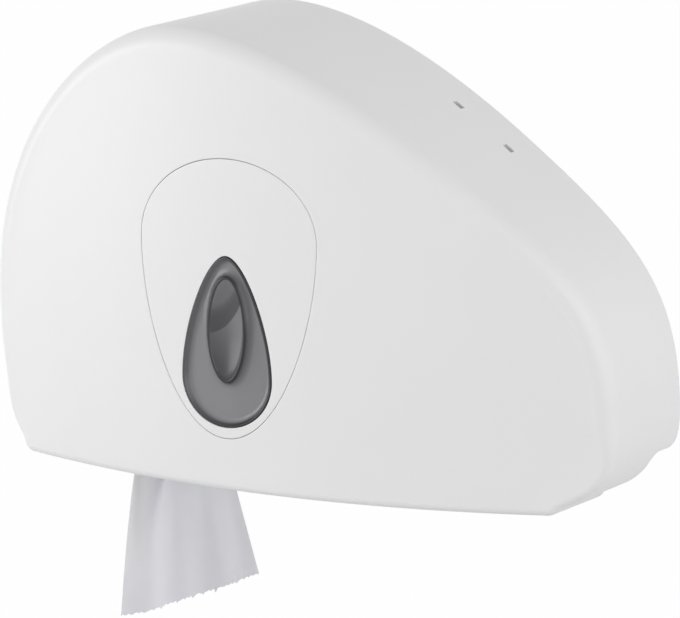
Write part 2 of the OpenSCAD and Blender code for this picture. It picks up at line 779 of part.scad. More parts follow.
module back_plate() {
    color(inner_white)
        difference() {
            union() {
                plate_slab(0, -plate_t, plate_in);
                plate_rim();
                plate_ribs();
                for (p = wall_holes)
                    bar_y(p, wall_boss_r, -plate_t + eps, -seat_t);
                for (p = [main_at, stub_at])
                    bar_y(p, base_r + 3, -plate_t + eps, -seat_t);
                hinge_bracket(-left_ear + knuckle_gap);
                hinge_bracket(right_ear - knuckle_gap - bracket_w);
                at_lock() lock_screw_bosses();
            }
            for (p = wall_holes)
                bar_y(p, wall_hole_r, 1, -20);
            for (p = [main_at, stub_at])
                base_screw_holes(p);
            bar_x(-left_ear - 10, -left_ear + knuckle_gap + bracket_w + 1, hinge_y, hinge_z, hinge_pin_r + slip / 5);
            bar_x(right_ear - knuckle_gap - bracket_w - 1, right_ear + 10, hinge_y, hinge_z, hinge_pin_r + slip / 5);
            at_lock() lock_screw_pilots();
        }
}

module plate_rim() {
    intersection() {
        difference() {
            slab(-plate_t + eps, -rim_depth) polygon(outline_in(plate_in));
            slab(1, -rim_depth - 1) polygon(outline_in(plate_in + rim_t));
        }
        block([-300, -rim_depth - 1, rim_foot], [300, 0, 300]);
    }
}

// Stiffening ribs: a ring and rays round each spindle seat
module plate_ribs() {
    intersection() {
        rib_star(main_at, 44, 10, 170);
        plate_slab(0, -20, plate_in + 1);
        block([-300, -20, -60], [20, 1, 300]);
    }
    intersection() {
        rib_star(stub_at, 40, 8, 90);
        plate_slab(0, -20, plate_in + 1);
        block([24, -20, -59], [300, 1, 58]);
    }
}
module rib_star(p, ring_r, rays, reach) {
    difference() {
        union() {
            bar_y(p, ring_r, -plate_t + eps, rib_front);
            for (i = [0 : rays - 1])
                translate([p[0], 0, p[1]])
                    rotate([0, i * 360 / rays + 12, 0])
                        block([ring_r - rib_t / 2, rib_front + 0.4, -rib_t / 2], [reach, -plate_t + eps, rib_t / 2]);
        }
        bar_y(p, ring_r - rib_t, 1, -20);
    }
}

module base_screw_holes(p) {
    for (i = [0 : 2]) {
        q = p + base_screw_ring * [cos(90 + 120 * i), sin(90 + 120 * i)];
        bar_y(q, base_screw_r + 0.2, 1, -20);
        bar_y(q, 3.2, 1, -head_t - 0.2);
    }
}

// A bracket for one hinge pin, on the plate's lower edge
module hinge_bracket(x) {
    bar_x(x, x + bracket_w, hinge_y, hinge_z, knuckle_r);
    block([x, hinge_y, hinge_z - knuckle_r], [x + bracket_w, 0, hinge_z + knuckle_r]);
    translate([x, 0, hinge_z + knuckle_r - eps])
        rotate([90, 0, 90])
            linear_extrude(bracket_w)
                polygon([[0, 0], [0, gusset_rise], [-plate_t, gusset_rise], [hinge_y + 2, 0]]);
}

module hinge_pins() {
    color(steel) {
        bar_x(left_ear_outer + 1.5, -left_ear + knuckle_gap + bracket_w, hinge_y, hinge_z, hinge_pin_r);
        bar_x(right_ear - knuckle_gap - bracket_w, right_ear_outer - 1.5, hinge_y, hinge_z, hinge_pin_r);
    }
}

// ---- spindles and hubs -------------------------------------------------------------------------------------------

// A moulded peg: base, tube, three screw posts and a middle post, as a body about the Y axis at a place
module spindle(p) {
    difference() {
        union() {
            bar_y(p, base_r, -seat_t, base_front);
            difference() {
                bar_y(p, spindle_r, base_front + eps, spindle_front);
                bar_y(p, spindle_r - spindle_wall, base_front, spindle_front - 1);
            }
            bar_y(p, cap_screw_r + 2, base_front + eps, spindle_front + 2);
            for (i = [0 : 2])
                translate([p[0], 0, p[1]])
                    rotate([0, -30 - 120 * i, 0])
                        block([cap_screw_r + 1, spindle_front + 2, -0.8], [spindle_r - spindle_wall + 1, base_front, 0.8]);
            for (q = base_screw_places(p))
                bar_y(q, post_r, base_front + eps, base_front - 9);
        }
        for (q = base_screw_places(p))
            bar_y(q, base_screw_r - 0.2 + grip, 0, base_front - 8);
        bar_y(p, cap_screw_r - 0.3 + grip, spindle_front + 16, spindle_front - 1);
    }
}
function base_screw_places(p) = [
    for (i = [0 : 2]) p + base_screw_ring * [cos(90 + 120 * i), sin(90 + 120 * i)]
];
module base_screws(p) {
    for (q = base_screw_places(p)) {
        bar_y(q, 3, -0.2, -0.2 - head_t);
        bar_y(q, base_screw_r - 0.2, -head_t, base_front - 7);
    }
}
// The cap's spigot centres it in the tube; its rim holds the hub on
module spindle_cap(p) {
    difference() {
        union() {
            bar_y(p, cap_r, spindle_front, spindle_front - cap_t);
            bar_y(p, spindle_r - spindle_wall - 0.1, spindle_front + 1.8, spindle_front - eps);
        }
        bar_y(p, cap_screw_r + 0.2, spindle_front + 5, spindle_front - 10);
        bar_y(p, 4.4, spindle_front - cap_t + 1.2, spindle_front - 10);
    }
}
module cap_screw(p) {
    head_back = spindle_front - cap_t + 1.2;
    bar_y(p, cap_screw_r - 0.3, spindle_front + 14, head_back);
    difference() {
        bar_y(p, 4, head_back, head_back - head_t);
        translate([p[0], 0, p[1]])
            for (a = [0, 90])
                rotate([0, a, 0])
                    block([-2.5, head_back - head_t - 1, -0.5], [2.5, head_back - head_t + 1.1, 0.5]);
    }
}
// Core adapter: flange, bearing sleeve, drum, webs and three gripping ribs
module hub(p) {
    bore_r = spindle_r + slip;
    sleeve_r = bore_r + 2;
    difference() {
        union() {
            bar_y(p, hub_flange_r, hub_back, hub_back - hub_flange_t);
            bar_y(p, sleeve_r, hub_back - eps, hub_front);
            difference() {
                bar_y(p, hub_drum_r, hub_back - eps, hub_front);
                bar_y(p, hub_drum_r - 2, hub_back - hub_flange_t, hub_front - 1);
            }
            for (i = [0 : 5])
                translate([p[0], 0, p[1]])
                    rotate([0, 60 * i + 15, 0])
                        block([sleeve_r - 0.5, hub_front + 1, -0.9], [hub_drum_r - 1, hub_back - hub_flange_t + eps, 0.9]);
            for (i = [0 : 2])
                translate([p[0], 0, p[1]])
                    rotate([0, 120 * i + 45, 0])
                        block([hub_drum_r - 0.6, hub_front + 2, -1.2],
                            [core_r - 0.15, hub_back - hub_flange_t + eps, 1.2]);
        }
        bar_y(p, bore_r, 0, hub_front - 1);
        for (i = [0 : 5])
            translate([p[0], 0, p[1]])
                rotate([0, 60 * i + 30, 0])
                    translate([hub_flange_r - 5.5, 0, 0])
                        rotate([90, 0, 0])
                            cylinder(r = 2.5, h = 40);
    }
}

module main_spindle() { color(inner_white) spindle(main_at); }
module main_spindle_screws() { color(steel) base_screws(main_at); }
module main_spindle_cap() { color(inner_white) spindle_cap(main_at); }
module main_cap_screw() { color(steel) cap_screw(main_at); }
module main_hub() { color(acetal) hub(main_at); }
module stub_spindle() { color(inner_white) spindle(stub_at); }
module stub_spindle_screws() { color(steel) base_screws(stub_at); }
module stub_spindle_cap() { color(inner_white) spindle_cap(stub_at); }
module stub_cap_screw() { color(steel) cap_screw(stub_at); }
module stub_hub() { color(acetal) hub(stub_at); }

// ---- paper -----------------------------------------------------------------------------------------------------------

module roll_core() {
    color(card)
        difference() {
            bar_y(main_at, core_r + core_wall, roll_back, roll_front - 0.5);
            bar_y(main_at, core_r, 0, -150);
        }
}
module paper_roll() {
    color(tissue)
        difference() {
            bar_y(main_at, roll_r, roll_back - 0.2, roll_front);
            bar_y(main_at, core_r + core_wall, 0, -150);
        }
}

// The tail: u runs across the paper from the front edge to the rear edge. It leaves the roll's left
// side on a tangent, passes the exit and hangs, turned a little towards the front, with soft folds.
tail_gap = 0.4;
exit_front = [-103, roll_front];      // where the paper crosses the exit, at its front edge
exit_rear = [-101.3, roll_back - 0.2];
foot_front = [-117, roll_front + 1, -172.5];       // lower corners of the torn edge
foot_rear = [-72, -13, -161];
exit_z = floor_z(main_exit_x) + wall;
function tangent_point(e) = let (
    d = [e[0], e[2]] - main_at,
    r = roll_r + tail_gap + paper_t / 2,
    a = atan2(d[1], d[0]) - acos(r / norm(d))
) [main_x + r * cos(a), e[1], main_height + r * sin(a)];
function exit_point(u) = let (p = lerp(exit_front, exit_rear, u)) [p[0], p[1], exit_z];
function foot_point(u) = lerp(foot_front, foot_rear, u) + [0, 0, 1.5 * sin(540 * u)];
// Folds: two soft waves that grow towards the foot, and a lap near the front edge that fades
function fold(u, v) = (0.8 + 2.2 * v) * sin(360 * 1.6 * u + 40) * (1 - 0.5 * u)
    + 3 * (1 - v) * smooth(v * 6) * exp(-pow((u - 0.16) / 0.09, 2));
function tail_point(u, k) = let (
    e = exit_point(u), t = tangent_point(e), f = foot_point(u)
) k <= 4 ? lerp(t, e, k / 4)
  : let (v = (k - 4) / 12, s = 1 - v, b = e + 14 * unit(e - t), c = f + [0, 0, 34])
    s * s * s * e + 3 * s * s * v * b + 3 * s * v * v * c + v * v * v * f
    + fold(u, v) * unit([foot_rear[1] - foot_front[1], foot_front[0] - foot_rear[0], 0]);
tail_across = 18;
tail_along = 16;
function tail_row(k, side) = [
    for (i = [0 : tail_across]) let (
        u = i / tail_across,
        p = tail_point(u, k),
        du = tail_point(min(u + 0.02, 1), k) - tail_point(max(u - 0.02, 0), k),
        dk = tail_point(u, min(k + 0.1, tail_along)) - tail_point(u, max(k - 0.1, 0))
    ) p + side * paper_t / 2 * unit(cross(du, dk))
];
module paper_tail() {
    rows = [
        for (k = [0 : tail_along])
            concat(tail_row(k, 1), [for (i = [tail_across : -1 : 0]) tail_row(k, -1)[i]])
    ];
    n = 2 * (tail_across + 1);
    last = n * tail_along;
    color(tissue)
        polyhedron(
            points = [for (r = rows) each r],
            faces = concat(
                [for (k = [0 : tail_along - 1]) each band(n * k, n * (k + 1), n)],
                [for (i = [0 : tail_across - 1]) each [
                    [i, i + 1, n - 2 - i], [i, n - 2 - i, n - 1 - i],
                    [last + i, last + n - 2 - i, last + i + 1], [last + i, last + n - 1 - i, last + n - 2 - i]
                ]]
            )
        );
}

// ---- lock ----------------------------------------------------------------------------------------------------------------

lock_screw_x = 20;
lock_screw_z = (housing_floor + housing_top) / 2;
lock_screw_r = 1.6;
lock_flange_t = 3;
lock_seat = -seat_t;

module lock_screw_bosses() {
    for (s = [-1, 1])
        bar_y([s * lock_screw_x, lock_screw_z], 5.5, -plate_t + eps, lock_seat);
}
module lock_screw_pilots() {
    for (s = [-1, 1])
        bar_y([s * lock_screw_x, lock_screw_z], lock_screw_r - 0.2 + grip, -0.8, -20);
}
// A trough open on top: flange on the plate, floor, guides, end posts and lips over the catch
module lock_housing() {
    lip_in = catch_half_l - 3;
    color(inner_white)
        at_lock()
            difference() {
                union() {
                    block([-housing_half_l, lock_seat - lock_flange_t, housing_floor - housing_wall],
                        [housing_half_l, lock_seat, housing_top]);
                    block([-housing_half_l, catch_front - guide_gap - housing_wall, housing_floor - housing_wall],
                        [housing_half_l, lock_seat, housing_floor]);
                    block([-housing_half_l, catch_front - guide_gap - housing_wall, housing_floor - eps],
                        [housing_half_l, catch_front - guide_gap, catch_top - 1]);
                    block([-housing_half_l, catch_rear + guide_gap, housing_floor - eps],
                        [housing_half_l, catch_rear + guide_gap + housing_wall, catch_top - 1]);
                    for (s = [-1, 1]) {
                        block([s > 0 ? catch_half_l + guide_gap : -housing_half_l, catch_front - guide_gap - eps,
                                housing_floor - eps],
                            [s > 0 ? housing_half_l : -catch_half_l - guide_gap, catch_rear + guide_gap + eps,
                                catch_top + touch + 1.5]);
                        block([s > 0 ? lip_in : -housing_half_l, catch_front - guide_gap - eps, catch_top + touch],
                            [s > 0 ? housing_half_l : -lip_in, catch_rear + guide_gap + eps, catch_top + touch + 1.5]);
                    }
                    for (x = [-housing_half_l, -1.25, housing_half_l - 2.5])
                        translate([x, lock_seat - lock_flange_t + eps, housing_floor - eps])
                            rotate([90, 0, 90])
                                linear_extrude(2.5)
                                    polygon([[0, 0], [0, housing_top - housing_floor - 1],
                                        [-6, catch_top - 1 - housing_floor], [-12, catch_top - 1 - housing_floor], [-12, 0]]);
                }
                // way for the catch's arm
                block([-arm_half_w - 1, -60, arm_top - arm_t - catch_travel - 1], [arm_half_w + 1, catch_front + 1, 0]);
                for (s = [-1, 1])
                    bar_y([s * lock_screw_x, lock_screw_z], lock_screw_r + 0.1, 0, -12);
            }
}
module lock_screws() {
    color(steel)
        at_lock()
            for (s = [-1, 1]) {
                bar_y([s * lock_screw_x, lock_screw_z], lock_screw_r - 0.2, -1, lock_seat - lock_flange_t);
                bar_y([s * lock_screw_x, lock_screw_z], 3, lock_seat - lock_flange_t, lock_seat - lock_flange_t - head_t);
            }
}
// The catch: bar, two key pads and an arm with a ramped tooth
module lock_catch() {
    color(acetal)
        at_lock() {
            block([-catch_half_l, catch_front, catch_top - catch_t], [catch_half_l, catch_rear, catch_top]);
            for (s = [-1, 1])
                block([s * slot_pitch / 2 - pad_l / 2, catch_front + 0.5, catch_top - eps],
                    [s * slot_pitch / 2 + pad_l / 2, catch_rear - 0.5, pad_top]);
            block([-arm_half_w, tooth_back - tooth_t, arm_top - arm_t], [arm_half_w, catch_front + eps, arm_top]);
            translate([-arm_half_w, tooth_back, arm_top - eps])
                rotate([90, 0, 90])
                    linear_extrude(2 * arm_half_w)
                        polygon([[0, 0], [0, tooth_top - arm_top], [-1, tooth_top - arm_top], [-tooth_t, 0]]);
        }
}

// A round-wire compression spring about Z: rings of six points along a helix
spring_sides = 6;
spring_steps = 8;
function helix(t, h) = [(spring_r - spring_wire_r) * cos(360 * t), (spring_r - spring_wire_r) * sin(360 * t), h];
module spring() {
    m = spring_turns * spring_steps;
    rise = spring_l - 2 * spring_wire_r - 2 * touch;
    rows = [
        for (k = [0 : m]) let (
            t = k / spring_steps,
            c = helix(t, rise * k / m + spring_wire_r + touch),
            radial = [cos(360 * t), sin(360 * t), 0]
        ) [for (j = [0 : spring_sides - 1]) let (a = -360 * j / spring_sides)
            c + spring_wire_r * (cos(a) * radial + sin(a) * [0, 0, 1])]
    ];
    skin(helix(0, spring_wire_r + touch), rows, helix(m / spring_steps, rise + spring_wire_r + touch));
}
module lock_springs() {
    color(steel)
        at_lock()
            for (s = [-1, 1])
                translate([s * slot_pitch / 2, -slot_depth, housing_floor])
                    spring();
}

// ====================================================================================================

cover();
window_plaque();
plaque_clips();
window_lens();
lens_clips();
main_tear_strips();
stub_tear_strips();
tear_strip_rivets();
back_plate();
hinge_pins();
main_spindle();
main_spindle_screws();
main_spindle_cap();
main_cap_screw();
main_hub();
roll_core();
paper_roll();
paper_tail();
stub_spindle();
stub_spindle_screws();
stub_spindle_cap();
stub_cap_screw();
stub_hub();
lock_housing();
lock_screws();
lock_catch();
lock_springs();
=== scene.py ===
"""Looks of a wall-mounted jumbo toilet roll dispenser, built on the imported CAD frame.

Metres. +X right seen from the front, +Y into the wall, +Z up. The origin is the centre of the wall holes.
"""

import math

import bmesh
import bpy
import numpy as np
from bpy.props import FloatProperty, FloatVectorProperty, IntProperty, PointerProperty
from mathutils import Euler, Matrix, Vector


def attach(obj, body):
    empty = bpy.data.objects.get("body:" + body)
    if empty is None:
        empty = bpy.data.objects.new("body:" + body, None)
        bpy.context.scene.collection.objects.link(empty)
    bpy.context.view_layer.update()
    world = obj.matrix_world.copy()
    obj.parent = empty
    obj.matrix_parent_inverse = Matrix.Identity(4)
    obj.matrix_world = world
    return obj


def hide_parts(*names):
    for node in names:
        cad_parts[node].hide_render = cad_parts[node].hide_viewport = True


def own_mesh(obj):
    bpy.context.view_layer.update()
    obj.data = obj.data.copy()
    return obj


bl_info = {
    "name": "Jumbo roll dispenser",
    "version": (1, 0, 0),
    "blender": (4, 5, 0),
    "location": "View3D > Sidebar > Dispenser",
    "description": "Builds the dispenser's cover, window, paper and finishes round its frame",
    "category": "Add Mesh",
}

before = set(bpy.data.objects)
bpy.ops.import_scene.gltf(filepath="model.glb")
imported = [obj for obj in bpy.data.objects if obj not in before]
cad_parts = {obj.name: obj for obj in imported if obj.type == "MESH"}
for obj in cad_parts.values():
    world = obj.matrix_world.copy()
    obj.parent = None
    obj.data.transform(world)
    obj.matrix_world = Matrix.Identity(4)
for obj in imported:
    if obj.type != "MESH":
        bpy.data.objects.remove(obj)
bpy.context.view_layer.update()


# ---- sizes and colours a user would change ----

def length(name, text, value):
    """A length in metres for a property group."""
    return FloatProperty(name=name, description=text, default=value, unit="LENGTH", precision=4)


def colour(name, text, value):
    """A linear colour for a property group."""
    return FloatVectorProperty(
        name=name, description=text, default=value, subtype="COLOR", size=3, min=0, max=1
    )


class HousingSizes(bpy.types.PropertyGroup):
    """The cover's main sizes."""

    depth: length("Depth", "From the wall to the fullest point of the front", 0.130)
    wall: length("Wall", "Thickness of the cover", 0.0025)
    front_round: length("Front rounding", "Between the front and the top and sides", 0.0127)
    low_round: length("Lower rounding", "Between the front and the underside", 0.0046)
    floor: length("Underside", "Height of the underside at its right end", -0.082)
    floor_rise: length("Underside's rise", "How much higher the underside is at its left end", 0.007)
    bow: length("Bow", "Radius of the front's bow from side to side", 0.625)
    upright_bow: length("Upright bow", "Radius of the front's bow from top to bottom", 4.35)
    seam: length("Seam", "Gap round the front plaque", 0.00035)
    rear_gap: length("Rear gap", "Gap between the cover and the wall", 0.0008)
    around: IntProperty(name="Points around", description="Points along the outline", default=640, min=96)


class PaperSizes(bpy.types.PropertyGroup):
    """The roll and the hanging tissue."""

    roll_radius: length("Roll radius", "Radius of the full roll", 0.100)
    tissue: length("Tissue", "Thickness of the hanging tissue", 0.0003)
    fold_depth: length("Fold depth", "Depth of the folds at the torn edge", 0.0026)


class Finishes(bpy.types.PropertyGroup):
    """Colours of the mouldings, the paper and the metal."""

    shell: colour("Cover", "White of the cover", (0.845, 0.845, 0.848))
    inner: colour("Inner mouldings", "White of the back plate and the spindles", (0.78, 0.79, 0.80))
    smoke: colour("Window", "Smoke grey of the window", (0.238, 0.238, 0.252))
    # the window's darkest tone: for its thick moulding, and for the painted shade and dark reflection on its
    # rims
    smoke_thick_and_painted_shade: colour("Window, dark", "Where the window's moulding is thick", (0.012, 0.012, 0.014))
    acetal: colour("Hubs", "Grey of the hubs and the catch", (0.115, 0.125, 0.14))
    tissue: colour("Tissue", "Cool white of the tissue", (0.785, 0.785, 0.895))
    board: colour("Core", "Brown-grey of the cardboard core", (0.36, 0.28, 0.19))
    steel: colour("Steel", "Plated steel", (0.62, 0.62, 0.63))


# ---- shader maths ----

class Link:
    """A number's socket: + - and * add Math nodes, also with a plain number on the left."""

    def __init__(self, paint, socket):
        self.paint, self.socket = paint, socket

    def _maths(self, kind, left, right):
        return self.paint.add("ShaderNodeMath", {"operation": kind}, {0: left, 1: right})

    def __add__(self, other):
        return self._maths("ADD", self, other)

    __radd__ = __add__

    def __mul__(self, other):
        return self._maths("MULTIPLY", self, other)

    __rmul__ = __mul__

    def __sub__(self, other):
        return self._maths("SUBTRACT", self, other)

    def __rsub__(self, other):
        return self._maths("SUBTRACT", other, self)


class Nodes:
    """A node tree that is added to from code."""

    def __init__(self, tree):
        self.tree = tree

    def add(self, kind, settings=None, sockets=None, out=0):
        """Adds a node of that type: its settings first, then the values or links of its sockets."""
        node = self.tree.nodes.new(kind)
        for key, value in (settings or {}).items():
            if key == "stops":
                ramp = node.color_ramp
                for index, (place, shade) in enumerate(value):
                    stop = ramp.elements[index] if index < 2 else ramp.elements.new(place)
                    stop.position, stop.color = place, (shade, shade, shade, 1)
            else:
                setattr(node, key, value)
        for key, value in (sockets or {}).items():
            if isinstance(value, Link):
                self.tree.links.new(value.socket, node.inputs[key])
            else:
                node.inputs[key].default_value = value
        return Link(self, node.outputs[out])

    def seen(self):
        """1 for the rays that look at the background, straight or through gloss and glass; 0 for light on the
        object."""
        kinds = "Camera", "Glossy", "Transmission"
        rays = [self.add("ShaderNodeLightPath", out=f"Is {kind} Ray") for kind in kinds]
        clamped = {"operation": "ADD", "use_clamp": True}
        return self.add("ShaderNodeMath", clamped, {0: rays[0] + rays[1], 1: rays[2]})


class Paint(Nodes):
    """One material's node tree, with a Principled shader at its end."""

    def __init__(self, name, **fixed):
        self.material = bpy.data.materials.new(name)
        self.material.use_nodes = True
        super().__init__(self.material.node_tree)
        self.shader = self.tree.nodes["Principled BSDF"]
        for socket, value in fixed.items():
            self.shader.inputs[socket.replace("_", " ")].default_value = value

    def place(self, scale=(1, 1, 1), shift=(0, 0, 0)):
        """Object coordinates, stretched and moved."""
        where = self.add("ShaderNodeTexCoord", out="Object")
        return self.add("ShaderNodeMapping", {}, {"Vector": where, "Scale": scale, "Location": shift})

    def noise(self, scale, detail, stretch=(1, 1, 1)):
        """Cloudy noise from 0 to 1 on object coordinates; scale is in features a metre."""
        sockets = {"Vector": self.place(stretch), "Scale": scale, "Detail": detail}
        return self.add("ShaderNodeTexNoise", {}, sockets)

    def stored(self, name):
        """A value stored at the mesh's points."""
        return self.add("ShaderNodeAttribute", {"attribute_name": name}, out="Fac")

    def mix(self, share, low, high):
        """A colour between low and high."""
        low, high = (end if isinstance(end, Link) else (*end, 1) for end in (low, high))
        return self.add("ShaderNodeMix", {"data_type": "RGBA"}, {0: share, 6: low, 7: high}, out=2)

    def ramp(self, value, stops):
        """A value passed through grey stops."""
        return self.add("ShaderNodeValToRGB", {"stops": stops}, {0: value})

    def feed(self, socket, value):
        """Links a value to one of the shader's own sockets."""
        self.tree.links.new(value.socket, self.shader.inputs[socket])

    def bump(self, height, distance, strength):
        """A bump on the shader's normal, its height times distance in metres."""
        sockets = {"Strength": strength, "Distance": distance, "Height": height}
        self.feed("Normal", self.add("ShaderNodeBump", {}, sockets))


def shade(colour_now, factor):
    """A colour times a factor."""
    return tuple(min(1.0, c * factor) for c in colour_now)


def moulded(name, tint, rough, sheen_scale, texture):
    """Moulded plastic: a faint cloud in the colour, a fine grain in the gloss, and a very shallow ripple."""
    paint = Paint(name, IOR=1.5)
    cloud = paint.noise(14, 2)
    paint.feed("Base Color", paint.mix(cloud, shade(tint, 0.985), shade(tint, 1.012)))
    grain = paint.noise(sheen_scale, 3)
    paint.feed("Roughness", grain * 0.09 + (rough - 0.045))
    paint.bump(paint.noise(texture, 2), 0.00002, 0.25)
    return paint


def smoked(name, tint, deep):
    """Smoke-grey window. The stored "tone" gives how light it looks: dark at its rims, partly for the thick
    moulding and partly as a painted dark reflection, with painted shade towards the lower right and a painted
    shadow right of the boss. Inside the boss, marked by "dish", a painted reflection: a dark band where the
    hub lies behind, with a curved lower edge, a painted lit part below it and a paler top."""
    paint = Paint(name, IOR=1.45)
    where = paint.place()
    x = paint.add("ShaderNodeSeparateXYZ", {}, {0: where}, out="X") - AXIS_X
    z = paint.add("ShaderNodeSeparateXYZ", {}, {0: where}, out="Z")
    tone, dish = paint.stored("tone"), paint.stored("dish")
    slant = z - x * 0.95 - x * x * 40
    # painted reflection, from below the hub's edge to above it: the painted lit lower part, the dark band,
    # the paler top
    stops = [(0.0, 0.0), (0.07, 0.0), (0.13, 1.0), (0.62, 0.92), (0.98, 0.62)]
    painted_reflection_band = paint.ramp((slant - 0.0150) * 60, stops)
    low = (z + 0.017) * 24 + x * 18
    painted_lit_part = paint.ramp(low, [(0.0, 0.12), (0.35, 0.32), (0.75, 0.54), (1.0, 0.72)])
    inner = painted_reflection_band * (0.20 - painted_lit_part) + painted_lit_part
    inner = paint.ramp(slant * 40 - 1.16, [(0.0, 0.0), (0.16, 1.0)]) * 0.15 + inner
    share = dish * (inner - tone) + tone
    cloud = paint.noise(60, 2) * 0.03 - 0.015
    paint.feed("Base Color", paint.mix(share + cloud * share, deep, tint))
    paint.feed("Roughness", paint.noise(700, 2) * 0.06 + 0.22)
    paint.bump(paint.noise(240, 2), 0.00003, 0.15)
    return paint


def steel(name, tint, stretch, rough=0.3):
    """Plated steel with fine drawn lines along one direction."""
    paint = Paint(name, Metallic=1.0)
    lines = paint.noise(900, 3, stretch)
    paint.feed("Base Color", paint.mix(lines, shade(tint, 0.86), shade(tint, 1.08)))
    paint.feed("Roughness", lines * 0.22 + (rough - 0.1))
    paint.bump(lines, 0.00002, 0.4)
    return paint


def cardboard(name, tint):
    """Wound grey-brown board: fibres that run round it, and darker blots."""
    paint = Paint(name, Roughness=0.85)
    fibre = paint.noise(420, 5, (1, 6, 1))
    blot = paint.noise(45, 3)
    paint.feed("Base Color", paint.mix(fibre * 0.6 + blot * 0.4, shade(tint, 0.8), shade(tint, 1.2)))
    paint.bump(fibre, 0.00012, 0.7)
    return paint


def tissue(name, tint, spindle=None):
    """Creped tissue: fine crepe lines across the paper, soft fibres, and on a roll's ends its layers. A
    stored value paints the hanging tissue's curled front edge whiter: painted light."""
    paint = Paint(
        name, Roughness=0.92, Specular_IOR_Level=0.12,
        Subsurface_Weight=0.6, Subsurface_Scale=0.01, Subsurface_Radius=(1, 1, 1),
    )
    fibre = paint.noise(700, 5, (1, 0.6, 1))
    crepe = paint.noise(1500, 3, (1, 0.12, 1))
    cloud = paint.noise(55, 3)
    shade_share = fibre * 0.35 + cloud * 0.65
    height = crepe * 0.6 + fibre * 0.7
    tone = paint.mix(shade_share, shade(tint, 0.96), shade(tint, 1.035))
    if spindle:
        where = paint.place((1, 0, 1), (-spindle[0], 0, -spindle[1]))
        radius = paint.add("ShaderNodeVectorMath", {"operation": "LENGTH"}, {0: where}, out="Value")
        wave = paint.add("ShaderNodeMath", {"operation": "SINE"}, {0: radius * 5200})
        sockets = {"W": radius * 260, "Detail": 4.0}
        wander = paint.add("ShaderNodeTexNoise", {"noise_dimensions": "1D"}, sockets)
        layers = wave * 0.25 + wander * 0.75
        tone = paint.mix(layers, shade(tint, 0.87), shade(tint, 1.05))
        height = height * 0.5 + layers
    # painted light: a stored value whitens the hanging tissue's curled front edge
    paint.feed("Base Color", paint.mix(paint.stored("painted_light_strip"), tone, shade(tint, 1.26)))
    paint.bump(height, 0.00016, 0.6)
    return paint


# ---- meshes ----

SHARP = 35


def mesh_object(name, points, faces, smooth=SHARP):
    """An object at the origin from points (n, 3) and a list of faces. Edges sharper than smooth degrees stay
    sharp."""
    mesh = bpy.data.meshes.new(name)
    mesh.from_pydata(np.asarray(points, float).tolist(), [], [tuple(int(i) for i in f) for f in faces])
    mesh.validate()
    mesh.polygons.foreach_set("use_smooth", np.ones(len(mesh.polygons), bool))
    if smooth is not None:
        mesh.set_sharp_from_angle(angle=math.radians(smooth))
    made = bpy.data.objects.new(name, mesh)
    bpy.context.scene.collection.objects.link(made)
    return made


def grid_faces(rows, around, closed=False):
    """Quads between rows of points that each go once round; closed joins the last row to the first."""
    r = np.arange(rows if closed else rows - 1)[:, None]
    i = np.arange(around)[None, :]
    j = (i + 1) % around
    nxt = (r + 1) % rows
    a, b = r * around + i, nxt * around + i
    c, d = nxt * around + j, r * around + j
    return np.stack([a, b, c, d], -1).reshape(-1, 4).tolist()


def skin(grid, closed=False, caps=False):
    """Points and faces of a grid (rows, around, 3); caps close its first and last rows with fans."""
    rows, around = grid.shape[:2]
    points, faces = grid.reshape(-1, 3), grid_faces(rows, around, closed)
    if caps:
        n, last = len(points), (rows - 1) * around
        points = np.vstack([points, grid[0].mean(0), grid[-1].mean(0)])
        faces += [(n, i, (i + 1) % around) for i in range(around)]
        faces += [(n + 1, last + (i + 1) % around, last + i) for i in range(around)]
    return points, faces


def joined(parts):
    """Several (points, faces) as one."""
    points, faces, first = [], [], 0
    for p, f in parts:
        points.append(np.asarray(p))
        faces += [tuple(np.asarray(face) + first) for face in f]
        first += len(p)
    return np.vstack(points), faces


def lathe(profile, axis_point, sides, axis=(0, 1, 0), closed=True):
    """A profile of (along, radius) pairs turned about a level axis through a point; closed joins its ends."""
    axis = np.asarray(axis, float)
    side = np.cross(axis, [0.0, 0.0, 1.0])
    other = np.cross(axis, side)
    turn = np.linspace(0, 2 * np.pi, sides, endpoint=False)
    ring = np.cos(turn)[:, None] * side + np.sin(turn)[:, None] * other
    p = np.asarray(profile, float)
    grid = np.asarray(axis_point, float) + p[:, 0, None, None] * axis + p[:, 1, None, None] * ring[None]
    return skin(grid, closed=closed, caps=not closed)


def block(corners):
    """A box-like solid from eight corners: four round its low end, then four round its high end."""
    c = np.asarray(corners, float)
    faces = [(0, 3, 2, 1), (4, 5, 6, 7)] + [(i, (i + 1) % 4, 4 + (i + 1) % 4, 4 + i) for i in range(4)]
    return c, faces


def prism(outline, low, high):
    """A closed outline of (y, z) places carried along X from low to high."""
    n = len(outline)
    grid = np.stack([np.column_stack([np.full(n, x), outline]) for x in (low, high)])
    return grid.reshape(-1, 3), grid_faces(2, n) + [tuple(range(n)), tuple(range(2 * n - 1, n - 1, -1))]


def box_points(low, high):
    """The eight corners of an upright box, in block's order."""
    (a, b, c), (d, e, f) = low, high
    return [(a, b, c), (d, b, c), (d, e, c), (a, e, c), (a, b, f), (d, b, f), (d, e, f), (a, e, f)]


def outward(made):
    """Turns all faces outwards."""
    mesh = bmesh.new()
    mesh.from_mesh(made.data)
    bmesh.ops.recalc_face_normals(mesh, faces=mesh.faces)
    mesh.to_mesh(made.data)
    mesh.free()
    return made


